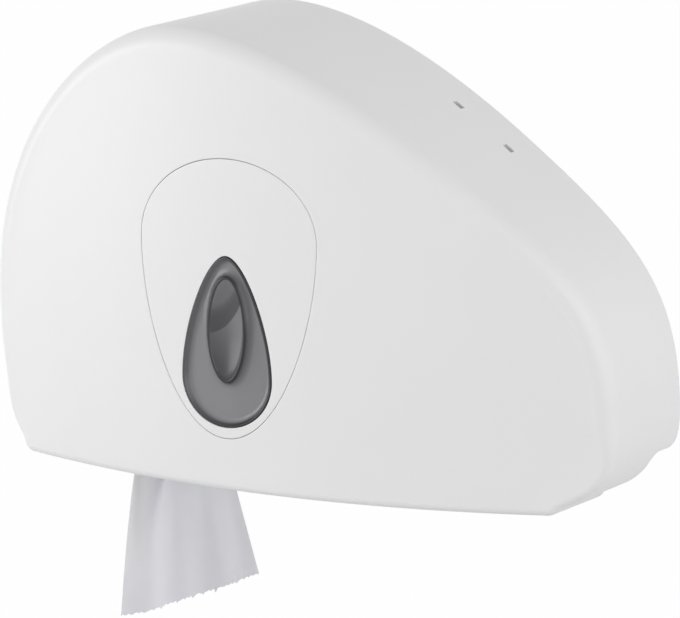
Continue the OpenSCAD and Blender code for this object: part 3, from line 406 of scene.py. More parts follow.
def cut(made, parts):
    """Cuts closed shapes out of a piece, and marks its sharp edges again."""
    for points, faces in parts:
        tool = outward(mesh_object("cutter", points, faces, None))
        step = made.modifiers.new("cut", "BOOLEAN")
        step.operation, step.solver, step.object = "DIFFERENCE", "EXACT", tool
        graph = bpy.context.evaluated_depsgraph_get()
        result = bpy.data.meshes.new_from_object(made.evaluated_get(graph))
        made.modifiers.clear()
        made.data = result
        bpy.data.objects.remove(tool)
    made.data.polygons.foreach_set("use_smooth", np.ones(len(made.data.polygons), bool))
    made.data.set_sharp_from_angle(angle=math.radians(SHARP))
    return made


def store(made, name, values):
    """Keeps a value at each point of a piece, for its finish to read."""
    made.data.attributes.new(name, "FLOAT", "POINT").data.foreach_set("value", values)


def finish_piece(made, paint, body, slot, *nodes):
    """Gives a piece its material and its body, and hides the CAD nodes it stands for."""
    made.data.materials.clear()
    made.data.materials.append(paint.material)
    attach(made, body)
    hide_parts(*nodes)
    return made


# ---- curves ----

def cubic(a, b, c, d, t):
    """Places along a cubic curve from a to d, led by b and c, as t goes from 0 to 1."""
    return (1 - t) ** 3 * a + 3 * (1 - t) ** 2 * t * b + 3 * (1 - t) * t**2 * c + t**3 * d


def bezier(a, b, c, d, n):
    """n points of a cubic curve from a, without its end."""
    ends = (np.asarray(p, float) for p in (a, b, c, d))
    return cubic(*ends, np.linspace(0, 1, n, endpoint=False)[:, None])


def arc(centre, radius, start, end, n):
    """n points of an arc, angles in degrees, without its end."""
    a = np.radians(np.linspace(start, end, n, endpoint=False))
    return np.asarray(centre) + radius * np.stack([np.cos(a), np.sin(a)], 1)


def even(points, n):
    """A closed line as n points at even steps, with its outward normals; it runs clockwise."""
    closed = np.vstack([points, points[:1]])
    run = np.concatenate([[0], np.cumsum(np.linalg.norm(np.diff(closed, axis=0), axis=1))])
    at = np.linspace(0, run[-1], n, endpoint=False)
    line = np.stack([np.interp(at, run, closed[:, k]) for k in (0, 1)], 1)
    ahead = np.roll(line, -2, 0) - np.roll(line, 2, 0)
    ahead /= np.linalg.norm(ahead, axis=1, keepdims=True)
    return line, np.stack([-ahead[:, 1], ahead[:, 0]], 1)


def heading(degrees):
    """A unit vector in the front view, from its angle above +X."""
    return np.array([math.cos(math.radians(degrees)), math.sin(math.radians(degrees))])


def corner_centres():
    """Centres of the housing's two lower corners, seen from the front."""
    sizes = bpy.context.scene.dispenser_housing
    return (
        np.array([-0.159, sizes.floor + sizes.floor_rise + LEFT_CORNER]),
        np.array([0.170, sizes.floor + RIGHT_CORNER]),
    )


def underside(n):
    """The underside from right to left: a shallow cubic curve whose x runs evenly."""
    left, right = corner_centres()
    start = right + RIGHT_CORNER * heading(-90 + FLOOR_LIFT)
    end = left + LEFT_CORNER * heading(-90 - FLOOR_FALL)
    third = (start[0] - end[0]) / 3
    return bezier(
        start, start - third * np.array([1, math.tan(math.radians(FLOOR_LIFT))]),
        end + third * np.array([1, -math.tan(math.radians(FLOOR_FALL))]), end, n,
    )


def housing_outline(n):
    """The housing seen from the front: two leaning flanks, a round crown, a slope and a shallow underside."""
    left, right = corner_centres()
    start = left + LEFT_CORNER * heading(180 + LEFT_LEAN)
    west, crown = np.array([-0.1895, 0.021]), np.array([-0.0565, 0.186])
    mid, east = np.array([0.111, 0.115]), np.array([0.209, -0.033])
    fall = heading(-36)
    end = right + RIGHT_CORNER * heading(-RIGHT_LEAN)
    rough = np.vstack([
        bezier(start, start + 0.008 * heading(90 + LEFT_LEAN), west - [0, 0.078], west, 200),
        bezier(west, west + [0, 0.106], crown - [0.051, 0], crown, 300),
        bezier(crown, crown + [0.055, 0], mid - 0.062 * fall, mid, 300),
        bezier(mid, mid + 0.087 * fall, east + [0, 0.070], east, 300),
        bezier(east, east - [0, 0.038], end + 0.005 * heading(90 - RIGHT_LEAN), end, 200),
        arc(right, RIGHT_CORNER, -RIGHT_LEAN, -90 + FLOOR_LIFT, 60),
        underside(200),
        arc(left, LEFT_CORNER, -90 - FLOOR_FALL, LEFT_LEAN - 180, 60),
    ])
    return even(rough, n)


LEFT_CORNER, RIGHT_CORNER = 0.007, 0.008
LEFT_LEAN, RIGHT_LEAN = 8.8, 34.0
FLOOR_FALL, FLOOR_LIFT = 2.9, 0.5
AXIS_X = -0.0155


def drop_line(top, side, foot, half, handles, n):
    """An egg or teardrop about the plaque's axis, clockwise from its top, evenly stepped."""
    t, f = np.array([AXIS_X, top]), np.array([AXIS_X, foot])
    r, l = np.array([AXIS_X + half, side]), np.array([AXIS_X - half, side])
    h_top, h_up, h_down, h_foot = handles
    return even(np.vstack([
        bezier(t, t + [h_top, 0], r + [0, h_up], r, 300),
        bezier(r, r - [0, h_down], f + [h_foot, 0], f, 300),
        bezier(f, f - [h_foot, 0], l - [0, h_down], l, 300),
        bezier(l, l + [0, h_up], t - [h_top, 0], t, 300),
    ]), n)


def plaque_line(n):
    """The front plaque's egg."""
    return drop_line(0.1115, 0.065, -0.0495, 0.057, (0.0315, 0.026, 0.050, 0.033), n)


def window_line(n):
    """The window's teardrop."""
    return drop_line(0.0558, -0.0145, -0.043, 0.029, (0.012, 0.029, 0.016, 0.016), n)


def flange_width(drop, most=0.0036, neck=0.0012, clear=0.0008):
    """Width of the window's flange at each point of its line: as much as the plaque's own flange, which
    reaches inwards by neck, leaves room for."""
    egg, egg_n = plaque_line(600)
    room = np.einsum("ijk,jk->ij", egg[None] - drop[:, None], egg_n).min(1)
    return np.minimum(most, room - neck - clear)


def boss_line(n):
    """The oval boss on the window."""
    return drop_line(0.044, 0.0135, -0.017, 0.0123, (0.0065, 0.017, 0.017, 0.0065), n)


def front_y(p):
    """Depth of the bowed front: a shallow paraboloid, fullest left of the middle."""
    sizes = bpy.context.scene.dispenser_housing
    return (
        -sizes.depth
        + (p[..., 0] + 0.060) ** 2 / (2 * sizes.bow)
        + (p[..., 1] + 0.064) ** 2 / (2 * sizes.upright_bow)
    )


def on_front(p, back=0.0):
    """Places seen from the front, laid on the bowed front and moved back."""
    return np.stack([p[..., 0], front_y(p) + back, p[..., 1]], -1)


def laid(line, normals):
    """Gives the function for a line's rows on the bowed front, k out along its normals and some way back."""
    return lambda k, back: on_front(line + k * normals, back)


def spots(line, picks, out):
    """Some of a line's 64 even points, moved out from it: each one's place and the front's depth there."""
    points, normals = line(64)
    places = [points[i] + out * normals[i] for i in picks]
    return [((p[0], 0, p[1]), float(front_y(p))) for p in places]


def studs():
    """Places of the six studs that hold the plaque."""
    return spots(plaque_line, (5, 16, 26, 38, 48, 59), 0.0045)


def pins():
    """Places of the four pins that hold the window."""
    return spots(window_line, (7, 18, 46, 57), 0.0019)


# ---- cover ----

# the rear notch's steps: reach from the wall, rise above the underside, whether it rounds the cover's corner
NOTCH_STEPS = (0.0325, 0.010, False), (0.0245, 0.028, True)
NOTCH_ROUND = 0.007
# each exit's left end, width and reach from the wall
EXITS = (-0.112, 0.078, 0.110), (0.056, 0.050, 0.098)
# the key slots in the lock's frame
SLOT_MIDDLES, SLOT_HALF, SLOT_FRONT, SLOT_REAR = (-0.0195, 0.0205), 0.0033, -0.0287, -0.0247
# each hinge ear from left to right, and the hinge's axis
EARS = (-0.1645, -0.1585), (0.170, 0.176)
HINGE_Y, HINGE_RISE = -0.0205, 0.0125
# the rounded lip at a gap in the front, and the flat ring round the plaque's opening
LIP, RING = 0.00025, 0.0085


def height_blend(z):
    """0 along the underside, 1 on the flanks and top, by a smooth step."""
    t = np.clip((z - bpy.context.scene.dispenser_housing.floor - 0.014) / 0.045, 0, 1)
    return t * t * (3 - 2 * t)


def edge_rows(line, normal, back, turns):
    """Rows round the front's edge: the wall leans in by the draft, then turns through a quarter circle."""
    sizes = bpy.context.scene.dispenser_housing
    up = height_blend(line[:, 1])
    radius = np.maximum(sizes.low_round + (sizes.front_round - sizes.low_round) * up - back, 0.0016)
    draft = math.tan(math.radians(0.7)) * sizes.depth * up
    full = line - (draft + back + radius)[:, None] * normal
    rows = []
    for turn in np.radians(turns):
        p = line - (draft + back + radius * (1 - math.cos(turn)))[:, None] * normal
        rows.append(np.stack([p[:, 0], front_y(full) + back + radius * (1 - math.sin(turn)), p[:, 1]], 1))
    return rows


def facing(line, hole, hole_normal):
    """For each point of the outline, the point and normal of the plaque's hole in its direction."""

    def bearing(points):
        return np.mod(np.arctan2(*(points - (AXIS_X, 0.031)).T), 2 * np.pi)

    have, want = bearing(hole), bearing(line)
    order = np.argsort(have)
    values = np.hstack([hole, hole_normal])[order].T
    found = np.stack([np.interp(want, have[order], v, period=2 * np.pi) for v in values], 1)
    return found[:, :2], found[:, 2:]


def lock_frame():
    """The lock's place on the slope, and its directions along the slope and outwards."""
    turn = math.radians(34.2834)
    return (
        np.array([0.0956063, 0.0, 0.125844]),
        np.array([math.cos(turn), 0, -math.sin(turn)]),
        np.array([math.sin(turn), 0, math.cos(turn)]),
    )


def from_lock(places):
    """The scene's places for some in the lock's frame: along the slope, along Y, outwards."""
    at, along, out = lock_frame()
    c = np.asarray(places)
    return at + c[:, 0, None] * along + c[:, 1, None] * np.array([0, 1, 0]) + c[:, 2, None] * out


def lock_block(low, high):
    """A box in the lock's frame."""
    return block(from_lock(box_points(low, high)))


class DISPENSER_OT_cover(bpy.types.Operator):
    """The cover: one bowed shell with its plaque opening, rear notch, paper exits and key slots."""

    bl_idname = "dispenser.cover"
    bl_label = "Cover"

    def execute(self, context):
        sizes = context.scene.dispenser_housing
        n, t = sizes.around, sizes.wall
        line, normal = housing_outline(n)
        hole, hole_normal = facing(line, *plaque_line(2000))
        at_hole = laid(hole, hole_normal)

        def face(back, shares):
            edge = edge_rows(line, normal, back, [90])[0][:, [0, 2]]
            near = hole + RING * hole_normal
            return [on_front(near + s * (edge - near), back) for s in shares]

        rows = [at_hole(sizes.seam, LIP + 0.0002), at_hole(sizes.seam, LIP)]
        rows += [at_hole(sizes.seam + 0.3 * LIP, 0.3 * LIP), at_hole(sizes.seam + LIP, 0)]
        rows += [at_hole(k, 0) for k in (0.0012, 0.004, RING)]
        rows += face(0, np.linspace(0, 1, 14)[1:-1])
        rows += edge_rows(line, normal, 0, np.linspace(90, 0, 19))
        wall_start = rows[-1]
        soft = 0.0004

        def rear_row(inset, ahead):
            p = line - inset * normal
            return np.stack([p[:, 0], np.full(n, -sizes.rear_gap - ahead), p[:, 1]], 1)

        rows += [wall_start + (rear_row(0, 0) - wall_start) * s for s in (0.25, 0.5, 0.75, 0.985)]
        for turn in np.radians([0, 30, 60, 90]):
            rows.append(rear_row(soft * (1 - math.cos(turn)), soft * (1 - math.sin(turn))))
        for turn in np.radians([90, 45, 0]):
            rows.append(rear_row(t - soft * (1 - math.cos(turn)), soft * (1 - math.sin(turn))))
        inner_edge = edge_rows(line, normal, t, np.linspace(0, 90, 9))
        rows += [rows[-1] + (inner_edge[0] - rows[-1]) * s for s in (0.33, 0.66)]
        rows += inner_edge
        rows += face(t, np.linspace(1, 0, 9)[1:-1])
        rows += [at_hole(RING, t), at_hole(sizes.seam, t), at_hole(sizes.seam, 0.5 * t)]
        grid = np.stack(rows)
        cover = outward(mesh_object("cover_shell", *skin(grid, closed=True)))
        cut(cover, self.openings(sizes))
        self.add_inner_parts(cover, sizes)
        finish_piece(cover, PAINTS["shell"], "front_cover", "shell_white", "cover")
        return {"FINISHED"}

    def openings(self, sizes):
        """What is cut away: the stepped rear notch, two paper exits open towards the wall, two key slots."""
        floor, radius = sizes.floor, NOTCH_ROUND
        a = np.linspace(0, np.pi / 2, 12)
        tools = []
        for depth, rise, rounds in NOTCH_STEPS:
            top = floor + rise
            corner = np.stack([-depth + radius * (1 - np.sin(a)), top - radius * (1 - np.cos(a))], 1)
            outline = [corner, [-depth, floor - 0.01], [0.01, floor - 0.01], [0.01, top]]
            if rounds:
                rear = -sizes.rear_gap - radius * (1 - np.cos(a))
                outline[3:] = [0.01, top + radius], np.stack([rear, top + radius * (1 - np.sin(a))], 1)
            tools.append(prism(np.vstack(outline), -0.3, 0.3))
        tools += [self.exit_shape(*place, floor) for place in EXITS]
        for middle in SLOT_MIDDLES:
            low, high = (middle - SLOT_HALF, SLOT_FRONT, -0.007), (middle + SLOT_HALF, SLOT_REAR, 0.005)
            tools.append(lock_block(low, high))
        return tools

    def exit_shape(self, x, w, d, floor):
        """An exit seen from below, with two rounded front corners; its rear end lies in the notch."""
        r, rear = 0.0025, -0.0305
        a = np.linspace(0, np.pi / 2, 7)
        left = np.stack([x + r - r * np.cos(a), -d + r - r * np.sin(a)], 1)
        right = np.stack([x + w - r + r * np.sin(a), -d + r - r * np.cos(a)], 1)
        ring = np.vstack([[x, rear], left, right, [x + w, rear]])
        levels = floor - 0.006, floor + 0.0135
        grid = np.stack([np.column_stack([ring, np.full(len(ring), z)]) for z in levels])
        return skin(grid, caps=True)

    def add_inner_parts(self, cover, sizes):
        """The hinge ears, the keeper with its gussets, and the plaque's studs: shells of the same piece."""
        hinge_z, r, bore, soft = sizes.floor + HINGE_RISE, 0.0055, 0.00205, 0.0004
        parts = []
        line, normal = housing_outline(2000)
        inside = line - 0.5 * sizes.wall * normal
        for x0, x1 in EARS:
            outer = [(x0, r - soft), (x0 + soft, r), (x1 - soft, r), (x1, r - soft)]
            rings = outer + [(x1, bore), (x0, bore)]
            parts.append(lathe(rings, (0, HINGE_Y, hinge_z), sides=48, axis=(1, 0, 0)))
            low, high = hinge_z + 0.0024, hinge_z + 0.012
            flank = inside[np.sign(x0) * inside[:, 0] > 0.15]
            flank = flank[np.argsort(flank[:, 1])]
            reach = np.interp([low, high], flank[:, 1], flank[:, 0])
            far, flat = (x0, x1) if x0 < 0 else (x1, x0)
            for front, rear, ends in (
                (HINGE_Y - 0.018, HINGE_Y - 0.008, reach),
                (HINGE_Y - 0.0081, HINGE_Y + r, (far, far)),
            ):
                corners = []
                for z, end in ((low, ends[0]), (high, ends[1])):
                    corners += [(flat, front, z), (end, front, z), (end, rear, z), (flat, rear, z)]
                parts.append(block(corners))
        parts.append(lock_block((-0.010, -0.041, -0.0067), (0.010, -0.0385, -0.0022)))
        tip, root = (-0.0386, -0.0059), (-0.0345, -0.0031)
        gusset = [(-0.001, *tip), (0.001, *tip), (0.001, *root), (-0.001, *root)]
        gusset += [(x, y, -0.0022) for x, y, _ in gusset]
        for side in (-1, 1):
            parts.append(block(from_lock(np.asarray(gusset) + [side * 0.009, 0, 0])))
        for place, y in studs():
            profile = [(y + 0.0012, 0.0015), (y + 0.0064, 0.0015), (y + 0.00665, 0.0011)]
            parts.append(lathe(profile, place, sides=24, closed=False))
        inner = outward(mesh_object("cover_inner_parts", *joined(parts)))
        both = bmesh.new()
        both.from_mesh(cover.data)
        both.from_mesh(inner.data)
        both.to_mesh(cover.data)
        both.free()
        bpy.data.objects.remove(inner)


class DISPENSER_OT_plaque(bpy.types.Operator):
    """The front plaque: an egg-shaped panel with the window's opening and a flange behind the cover."""

    bl_idname = "dispenser.plaque"
    bl_label = "Front plaque"

    def execute(self, context):
        sizes = context.scene.dispenser_housing
        n, t = 480, sizes.wall
        egg, egg_n = plaque_line(n)
        drop, drop_n = window_line(n)
        at_egg, at_drop = laid(egg, egg_n), laid(drop, drop_n)
        near, far = drop + 0.0008 * drop_n, egg - 0.0008 * egg_n
        deep, clear = t + 0.00165, t + 0.00005
        rows = [at_drop(sizes.seam, back) for back in (t, 0.5 * t, LIP)]
        rows += [at_drop(sizes.seam + 0.3 * LIP, 0.3 * LIP), at_drop(sizes.seam + LIP, 0)]
        rows += [on_front(near + s * (far - near)) for s in np.linspace(0, 1, 13)]
        # the lip, then the flange that reaches out behind the cover
        rows += [at_egg(k, back) for k, back in (
            (-LIP, 0), (-0.3 * LIP, 0.3 * LIP), (0, LIP), (0, 0.5 * t), (0, clear),
            (0.004, clear), (0.0077, clear), (0.008, t + 0.0003), (0.008, deep - 0.0003), (0.0077, deep),
            (0.004, deep), (-0.0012, deep), (-0.0012, t),
        )]
        near, far = drop + (flange_width(drop) + 0.0004)[:, None] * drop_n, egg - 0.0012 * egg_n
        rows += [on_front(near + s * (far - near), t) for s in (0.7, 0.35, 0.0)]
        parts = [skin(np.stack(rows), closed=True)]
        for place, front in studs():
            y, r, bore = front + deep, 0.0028, 0.00155
            profile = [(y - 0.001, r), (y + 0.0005, r), (y + 0.0007, r - 0.0002)]
            profile += [(y + 0.0007, bore), (y - 0.001, bore)]
            parts.append(lathe(profile, place, sides=32))
        for place, front in pins():
            y, r = front + t, 0.0009
            profile = [(y - 0.001, r), (y + 0.0039, r), (y + 0.0042, r - 0.0003)]
            parts.append(lathe(profile, place, sides=24, closed=False))
        plaque = outward(mesh_object("front_plaque", *joined(parts)))
        finish_piece(plaque, PAINTS["shell"], "front_cover", "shell_white", "window_plaque")
        return {"FINISHED"}


class DISPENSER_OT_window(bpy.types.Operator):
    """The smoke-grey window: a rim, a sunk field, and an oval boss with a dished face."""

    bl_idname = "dispenser.window"
    bl_label = "Window"

    def execute(self, context):
        n = 360
        drop, drop_n = window_line(n)
        boss, boss_n = boss_line(n)
        centre = np.array([AXIS_X, 0.0135])
        at_drop, at_boss = laid(drop, drop_n), laid(boss, boss_n)
        deep, dish, back, thick = 0.0028, 0.0018, 0.0042, 0.0016
        flange = flange_width(drop)[:, None]
        # painted shade: the rim and the slope's top darker towards the lower right, the slope's foot lighter
        # there
        painted_shade_lower_right = np.clip(0.5 + 0.6 * drop_n[:, 0] - 0.35 * drop_n[:, 1], 0, 1)
        # painted shadow: the boss's foot and the field next to it darker on the boss's right
        right = np.clip(boss_n[:, 0], 0, 1)
        # the front from the rim inwards, each row with its tone: rim, slope and field; the rim is dark partly
        # for the thick moulding, partly as painted shade
        rows = [(at_drop(k, sunk), tone) for k, sunk, tone in (
            (flange, 0.00255, 0.1), (0, 0.00255, 0.05), (0, 0.0007, 0.0), (-0.00005, 0.0002, 0.0),
            (-0.00025, -0.0001, 0.02), (-0.0006, -0.0002, 0.22 - 0.2 * painted_shade_lower_right),
            (-0.00095, -0.0001, 0.36 - 0.34 * painted_shade_lower_right), (-0.0012, 0.0003, 0.50 - 0.47 * painted_shade_lower_right),
        )]
        slope = (0.25, 0.40, 0.36), (0.5, 0.52, 0.10), (0.75, 0.66, -0.2), (0.92, 0.84, -0.14)
        for s, tone, darker in slope:
            row = at_drop(-0.0013 - 0.0022 * s, 0.0004 + (deep - 0.0008) * s)
            rows.append((row, tone - darker * painted_shade_lower_right))
        rows += [(at_drop(-0.0039, deep - 0.00012), 0.92), (at_drop(-0.0046, deep), 0.98)]
        inner, outer = drop - 0.0058 * drop_n, boss + 0.0050 * boss_n
        # the field, with a painted shadow growing towards the boss's right
        for s in (0.0, 0.33, 0.66, 1.0):
            rows.append((on_front(inner + s * (outer - inner), deep), 1.0 - 0.1 * s * right))
        # the boss: its foot, with a painted shadow on its right, its rim and its dished face
        for k, sunk, tone in (
            (0.0030, deep - 0.0001, 0.92), (0.0018, deep - 0.0006, 0.75),
            (0.0009, deep - 0.0014, 0.5), (0.0004, 0.0006, 0.16),
        ):
            rows.append((at_boss(k, sunk), tone * (1 - 0.3 * right)))
        rows += [(at_boss(k, sunk), tone) for k, sunk, tone in (
            (0.00015, 0.00015, 0.02), (-0.0002, -0.0001, 0.0), (-0.0006, -0.0002, 0.04),
            (-0.0010, -0.0001, 0.12), (-0.0013, 0.0002, 0.2), (-0.0015, 0.0006, 0.2),
        )]
        inside = len(rows) - 1

        def in_dish(s, behind):
            sunk = 0.0004 + dish * (1 - (s / 0.88) ** 2.2) + behind
            return on_front(centre + s * (boss - centre), sunk), 0.2

        rows += [in_dish(s, 0) for s in (0.86, 0.78, 0.68, 0.56, 0.42, 0.28, 0.14, 0.04)]
        rear = [in_dish(s, thick) for s in (0.04, 0.42, 0.8)]
        rear += [(at_boss(0.0016, deep + thick), 0.6), (at_drop(-0.0030, deep + thick), 0.6)]
        rear += [(at_drop(flange - 0.0003, back), 0.1), (at_drop(flange, back - 0.0003), 0.1)]
        sheet = rear + rows
        parts = [skin(np.stack([row for row, _ in sheet]), caps=True)]
        tones = np.concatenate([tone * np.ones(n) for _, tone in sheet] + [[0.2, 0.2]])
        before = np.zeros(n * (len(rear) + inside))
        dished = np.concatenate([before, np.ones(n * (len(rows) - inside)), [0, 1]])
        for place, front in pins():
            y, r, bore = front + back, 0.0014, 0.00095
            profile = [(y - 0.0008, r), (y + 0.0006, r), (y + 0.0007, r - 0.0001)]
            profile += [(y + 0.0007, bore), (y - 0.0008, bore)]
            parts.append(lathe(profile, place, sides=24))
        window = outward(mesh_object("smoked_window", *joined(parts), smooth=50))
        for name, values, seats in (("tone", tones, 0.1), ("dish", dished, 0.0)):
            spread = np.full(len(window.data.vertices), seats)
            spread[: len(values)] = values
            store(window, name, spread)
        finish_piece(window, PAINTS["smoke"], "front_cover", "smoked_window", "window_lens")
        return {"FINISHED"}


# ---- paper ----

MAIN = np.array([-0.062, 0.052])
ROLL_BACK, ROLL_FRONT = -0.0092, -0.094
EXIT_HEIGHT = -0.0746935
# front and rear ends of the lines where the sheet leaves the cover and where it is torn
EXIT_ENDS = (-0.1035, ROLL_FRONT, EXIT_HEIGHT), (-0.1013, ROLL_BACK, EXIT_HEIGHT)
TORN_ENDS = (-0.1180, -0.093, -0.1757), (-0.0729, -0.013, -0.1618)


def tail_surface(u, v):
    """The hanging tissue. u runs across it from its front edge, v along it: up to 0 it follows the tangent
    from the roll to the exit, and from 0 to 1 a cubic curve down to the torn edge. Near the exit its front
    edge curls round to face forwards, and soft folds, sums of sines across it, fan out downwards."""
    sizes = bpy.context.scene.dispenser_paper

    def across(a, b):
        return np.asarray(a) + np.subtract(b, a) * u[..., None]

    edge = across(*EXIT_ENDS)
    d = edge[..., [0, 2]] - MAIN
    r = sizes.roll_radius + 0.0007
    angle = np.arctan2(d[..., 1], d[..., 0]) - np.arccos(r / np.linalg.norm(d, axis=-1))
    start = np.stack([MAIN[0] + r * np.cos(angle), edge[..., 1], MAIN[1] + r * np.sin(angle)], -1)
    foot = across(*TORN_ENDS)
    foot = foot - np.stack([0 * u, 0 * u, 0.0021 * np.sin(np.pi * u**0.68)], -1)
    w = np.clip(v, 0, 1)[..., None]
    down = edge + across((-0.0072, 0, -0.030), (0.0079, 0, -0.030))
    up = foot + across((0.0032, 0, 0.034), (-0.0100, 0, 0.034))
    low = cubic(edge, down, up, foot, w)
    high = edge + (edge - start) * np.clip(v, -1, 0)[..., None]
    base = np.where(v[..., None] < 0, high, low)
    w = np.clip(v, 0, 1)
    soft = w * w * (3 - 2 * w)
    side = np.stack([1 + 0 * soft, -0.56 * soft, 0 * soft], -1)
    side /= np.linalg.norm(side, axis=-1, keepdims=True)
    waves = sizes.fold_depth * (0.25 + 0.75 * soft) * (
        0.62 * np.sin(2 * np.pi * (1.55 * u + 0.11 - 0.1 * w)) * (1 - 0.5 * u)
        + 0.20 * np.sin(2 * np.pi * (3.7 * u + 0.3 * w + 0.2))
        + 0.08 * np.sin(2 * np.pi * (7.9 * u - 0.2 * w + 0.55)) * (1 - w)
    )
    inside = np.clip(1 + 1.4 * np.clip(v, -1, 0), 0, 1)
    curl = inside * inside * (3 - 2 * inside) * (1 - np.clip(w * 1.25, 0, 1)) ** 1.5
    ridge = np.exp(-(((u - 0.19) / 0.10) ** 2)) + 0.10 * np.exp(-(((u - 0.60) / 0.22) ** 2))
    front = np.exp(-((u / 0.12) ** 2))
    moved = (waves * np.clip(w * 9, 0, 1) + 0.0110 * curl * ridge)[..., None] * side
    hook = curl * front
    return base + moved + np.stack([-0.0076 * hook, 0.0120 * hook, 0 * hook], -1)


class DISPENSER_OT_paper(bpy.types.Operator):
    """The full roll and the tissue that hangs from it through the exit."""

    bl_idname = "dispenser.paper"
    bl_label = "Paper"

    def execute(self, context):
        sizes = context.scene.dispenser_paper
        self.roll(sizes)
        self.tail(sizes)
        return {"FINISHED"}

    def roll(self, sizes):
        """A ring about the spindle with softly rounded edges and slightly uneven ends."""
        outer, inner = sizes.roll_radius, 0.0315
        radii = np.linspace(inner + 0.0006, outer - 0.0016, 40)
        dent = 0.00022 * np.sin(radii * 900) + 0.00012 * np.sin(radii * 2300 + 1)
        ahead, behind, soft = ROLL_FRONT + 0.0004, ROLL_BACK - 0.0004, 0.0014
        turns = np.radians(np.linspace(0, 90, 6))
        rounds = [(soft * (1 - math.cos(a)), soft * (1 - math.sin(a))) for a in turns]
        front = [(ahead + d, r) for d, r in zip(dent, radii)] + [(ahead + c, outer - s) for c, s in rounds]
        rear = [(behind - s, outer - c) for c, s in rounds]
        rear += [(behind - abs(d), r) for d, r in zip(dent[::-1], radii[::-1])]
        profile = front + rear + [(ROLL_BACK - 0.0008, inner), (ROLL_FRONT + 0.0008, inner)]
        shape = lathe(profile, (MAIN[0], 0, MAIN[1]), sides=160)
        roll = outward(mesh_object("tissue_roll", *shape, smooth=60))
        finish_piece(roll, PAINTS["roll"], "main_roll", "tissue_paper", "paper_roll")

    def tail(self, sizes):
        """A thin two-sided sheet on tail_surface, with a torn lower edge of small uneven teeth."""
        nu, nv = 150, 170
        u, v = np.meshgrid(np.linspace(0, 1, nu), np.linspace(-1, 1, nv))
        mid = tail_surface(u, v)
        rng = np.random.default_rng(7)
        edge = np.linspace(0, 1, nu)
        bite = 0.0009 * np.abs(np.sin(np.pi * edge * 26 + 0.6 * np.sin(40 * edge))) + 0.0005 * rng.random(nu)
        tuft = np.zeros(nu)
        for place in (0.17, 0.29, 0.41, 0.52, 0.6, 0.68, 0.83):
            tuft -= 0.0016 * np.exp(-(((edge - place) / 0.006) ** 2)) * (0.5 + rng.random())
        near = np.clip((v - 0.93) / 0.07, 0, 1) ** 2
        mid[..., 2] += near * (bite + tuft)[None, :]
        du = np.gradient(mid, axis=1)
        dv = np.gradient(mid, axis=0)
        normal = np.cross(du, dv)
        normal /= np.linalg.norm(normal, axis=-1, keepdims=True)
        half = 0.5 * sizes.tissue * normal
        ring = np.concatenate([mid + half, (mid - half)[:, ::-1]], 1)
        points, faces = skin(ring)
        around = 2 * nu
        for row in (0, nv - 1):
            first, last = row * around, (row + 1) * around - 1
            faces += [(first + i, first + i + 1, last - 1 - i, last - i) for i in range(nu - 1)]
        tail = outward(mesh_object("hanging_tissue", points, faces, smooth=70))
        # painted light: the curled front edge near the exit, fading downwards, is painted whiter
        painted_light_strip = np.clip(1.25 - (u / 0.17) ** 3, 0, 1) * np.clip(1.1 - 1.1 * np.clip(v, 0, 1), 0, 1)
        painted_light_strip = np.concatenate([painted_light_strip, painted_light_strip[:, ::-1]], 1).ravel()
        store(tail, "painted_light_strip", painted_light_strip)
        finish_piece(tail, PAINTS["tissue"], "base", "tissue_paper", "paper_tail")
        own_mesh(tail)


# ---- lock springs ----

class DISPENSER_OT_springs(bpy.types.Operator):
    """The catch's two coil springs: a round wire along a helix whose end turns lie close."""

    bl_idname = "dispenser.springs"
    bl_label = "Lock springs"

    def execute(self, context):
        at, along, out = lock_frame()
        across = np.array([0.0, 1.0, 0.0])
        parts = []
        low, high, coil, wire = -0.0217 + 0.00045, -0.0122 - 0.00045, 0.0026, 0.0004
        turns, steps = 6, 28
        t = np.linspace(0, 1, turns * steps + 1)
        turn = 2 * np.pi * turns * t
        rise = low + (high - low) * (t - 0.03 * np.sin(2 * np.pi * t))
        radial = np.cos(turn)[:, None] * along + np.sin(turn)[:, None] * across
        a = np.linspace(0, 2 * np.pi, 12, endpoint=False)
        section = np.cos(a)[None, :, None] * radial[:, None] + np.sin(a)[None, :, None] * out
        for side in (-1, 1):
            x, y = side * 0.020 + coil * np.cos(turn), -0.027 + coil * np.sin(turn)
            middle = from_lock(np.stack([x, y, rise], 1))
            parts.append(skin(middle[:, None] + wire * section, caps=True))
        springs = outward(mesh_object("catch_springs", *joined(parts), smooth=60))
        finish_piece(springs, PAINTS["spring"], "base", "spring_steel", "lock_springs")
        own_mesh(springs)
        return {"FINISHED"}


# ---- finishes on the carried-over nodes ----

class DISPENSER_OT_finishes(bpy.types.Operator):
    """Gives every carried-over CAD node its moulded, plated or wound finish."""

    bl_idname = "dispenser.finishes"
    bl_label = "Finishes"

    plan = {
        "inner": (
            "back_plate", "main_spindle", "stub_spindle", "main_spindle_cap", "stub_spindle_cap",
            "lock_housing", "main_tear_strips", "stub_tear_strips",
        ),
        "acetal": ("main_hub", "stub_hub", "lock_catch"),
        "clip": ("plaque_clips", "lens_clips", "hinge_pins", "tear_strip_rivets"),
        "screw": (
            "main_spindle_screws", "stub_spindle_screws", "main_cap_screw", "stub_cap_screw", "lock_screws",
        ),
        "board": ("roll_core",),
    }

    def execute(self, context):
        for paint, nodes in self.plan.items():
            for node in nodes:
                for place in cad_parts[node].material_slots:
                    place.material = PAINTS[paint].material
        return {"FINISHED"}


# ---- stage ----

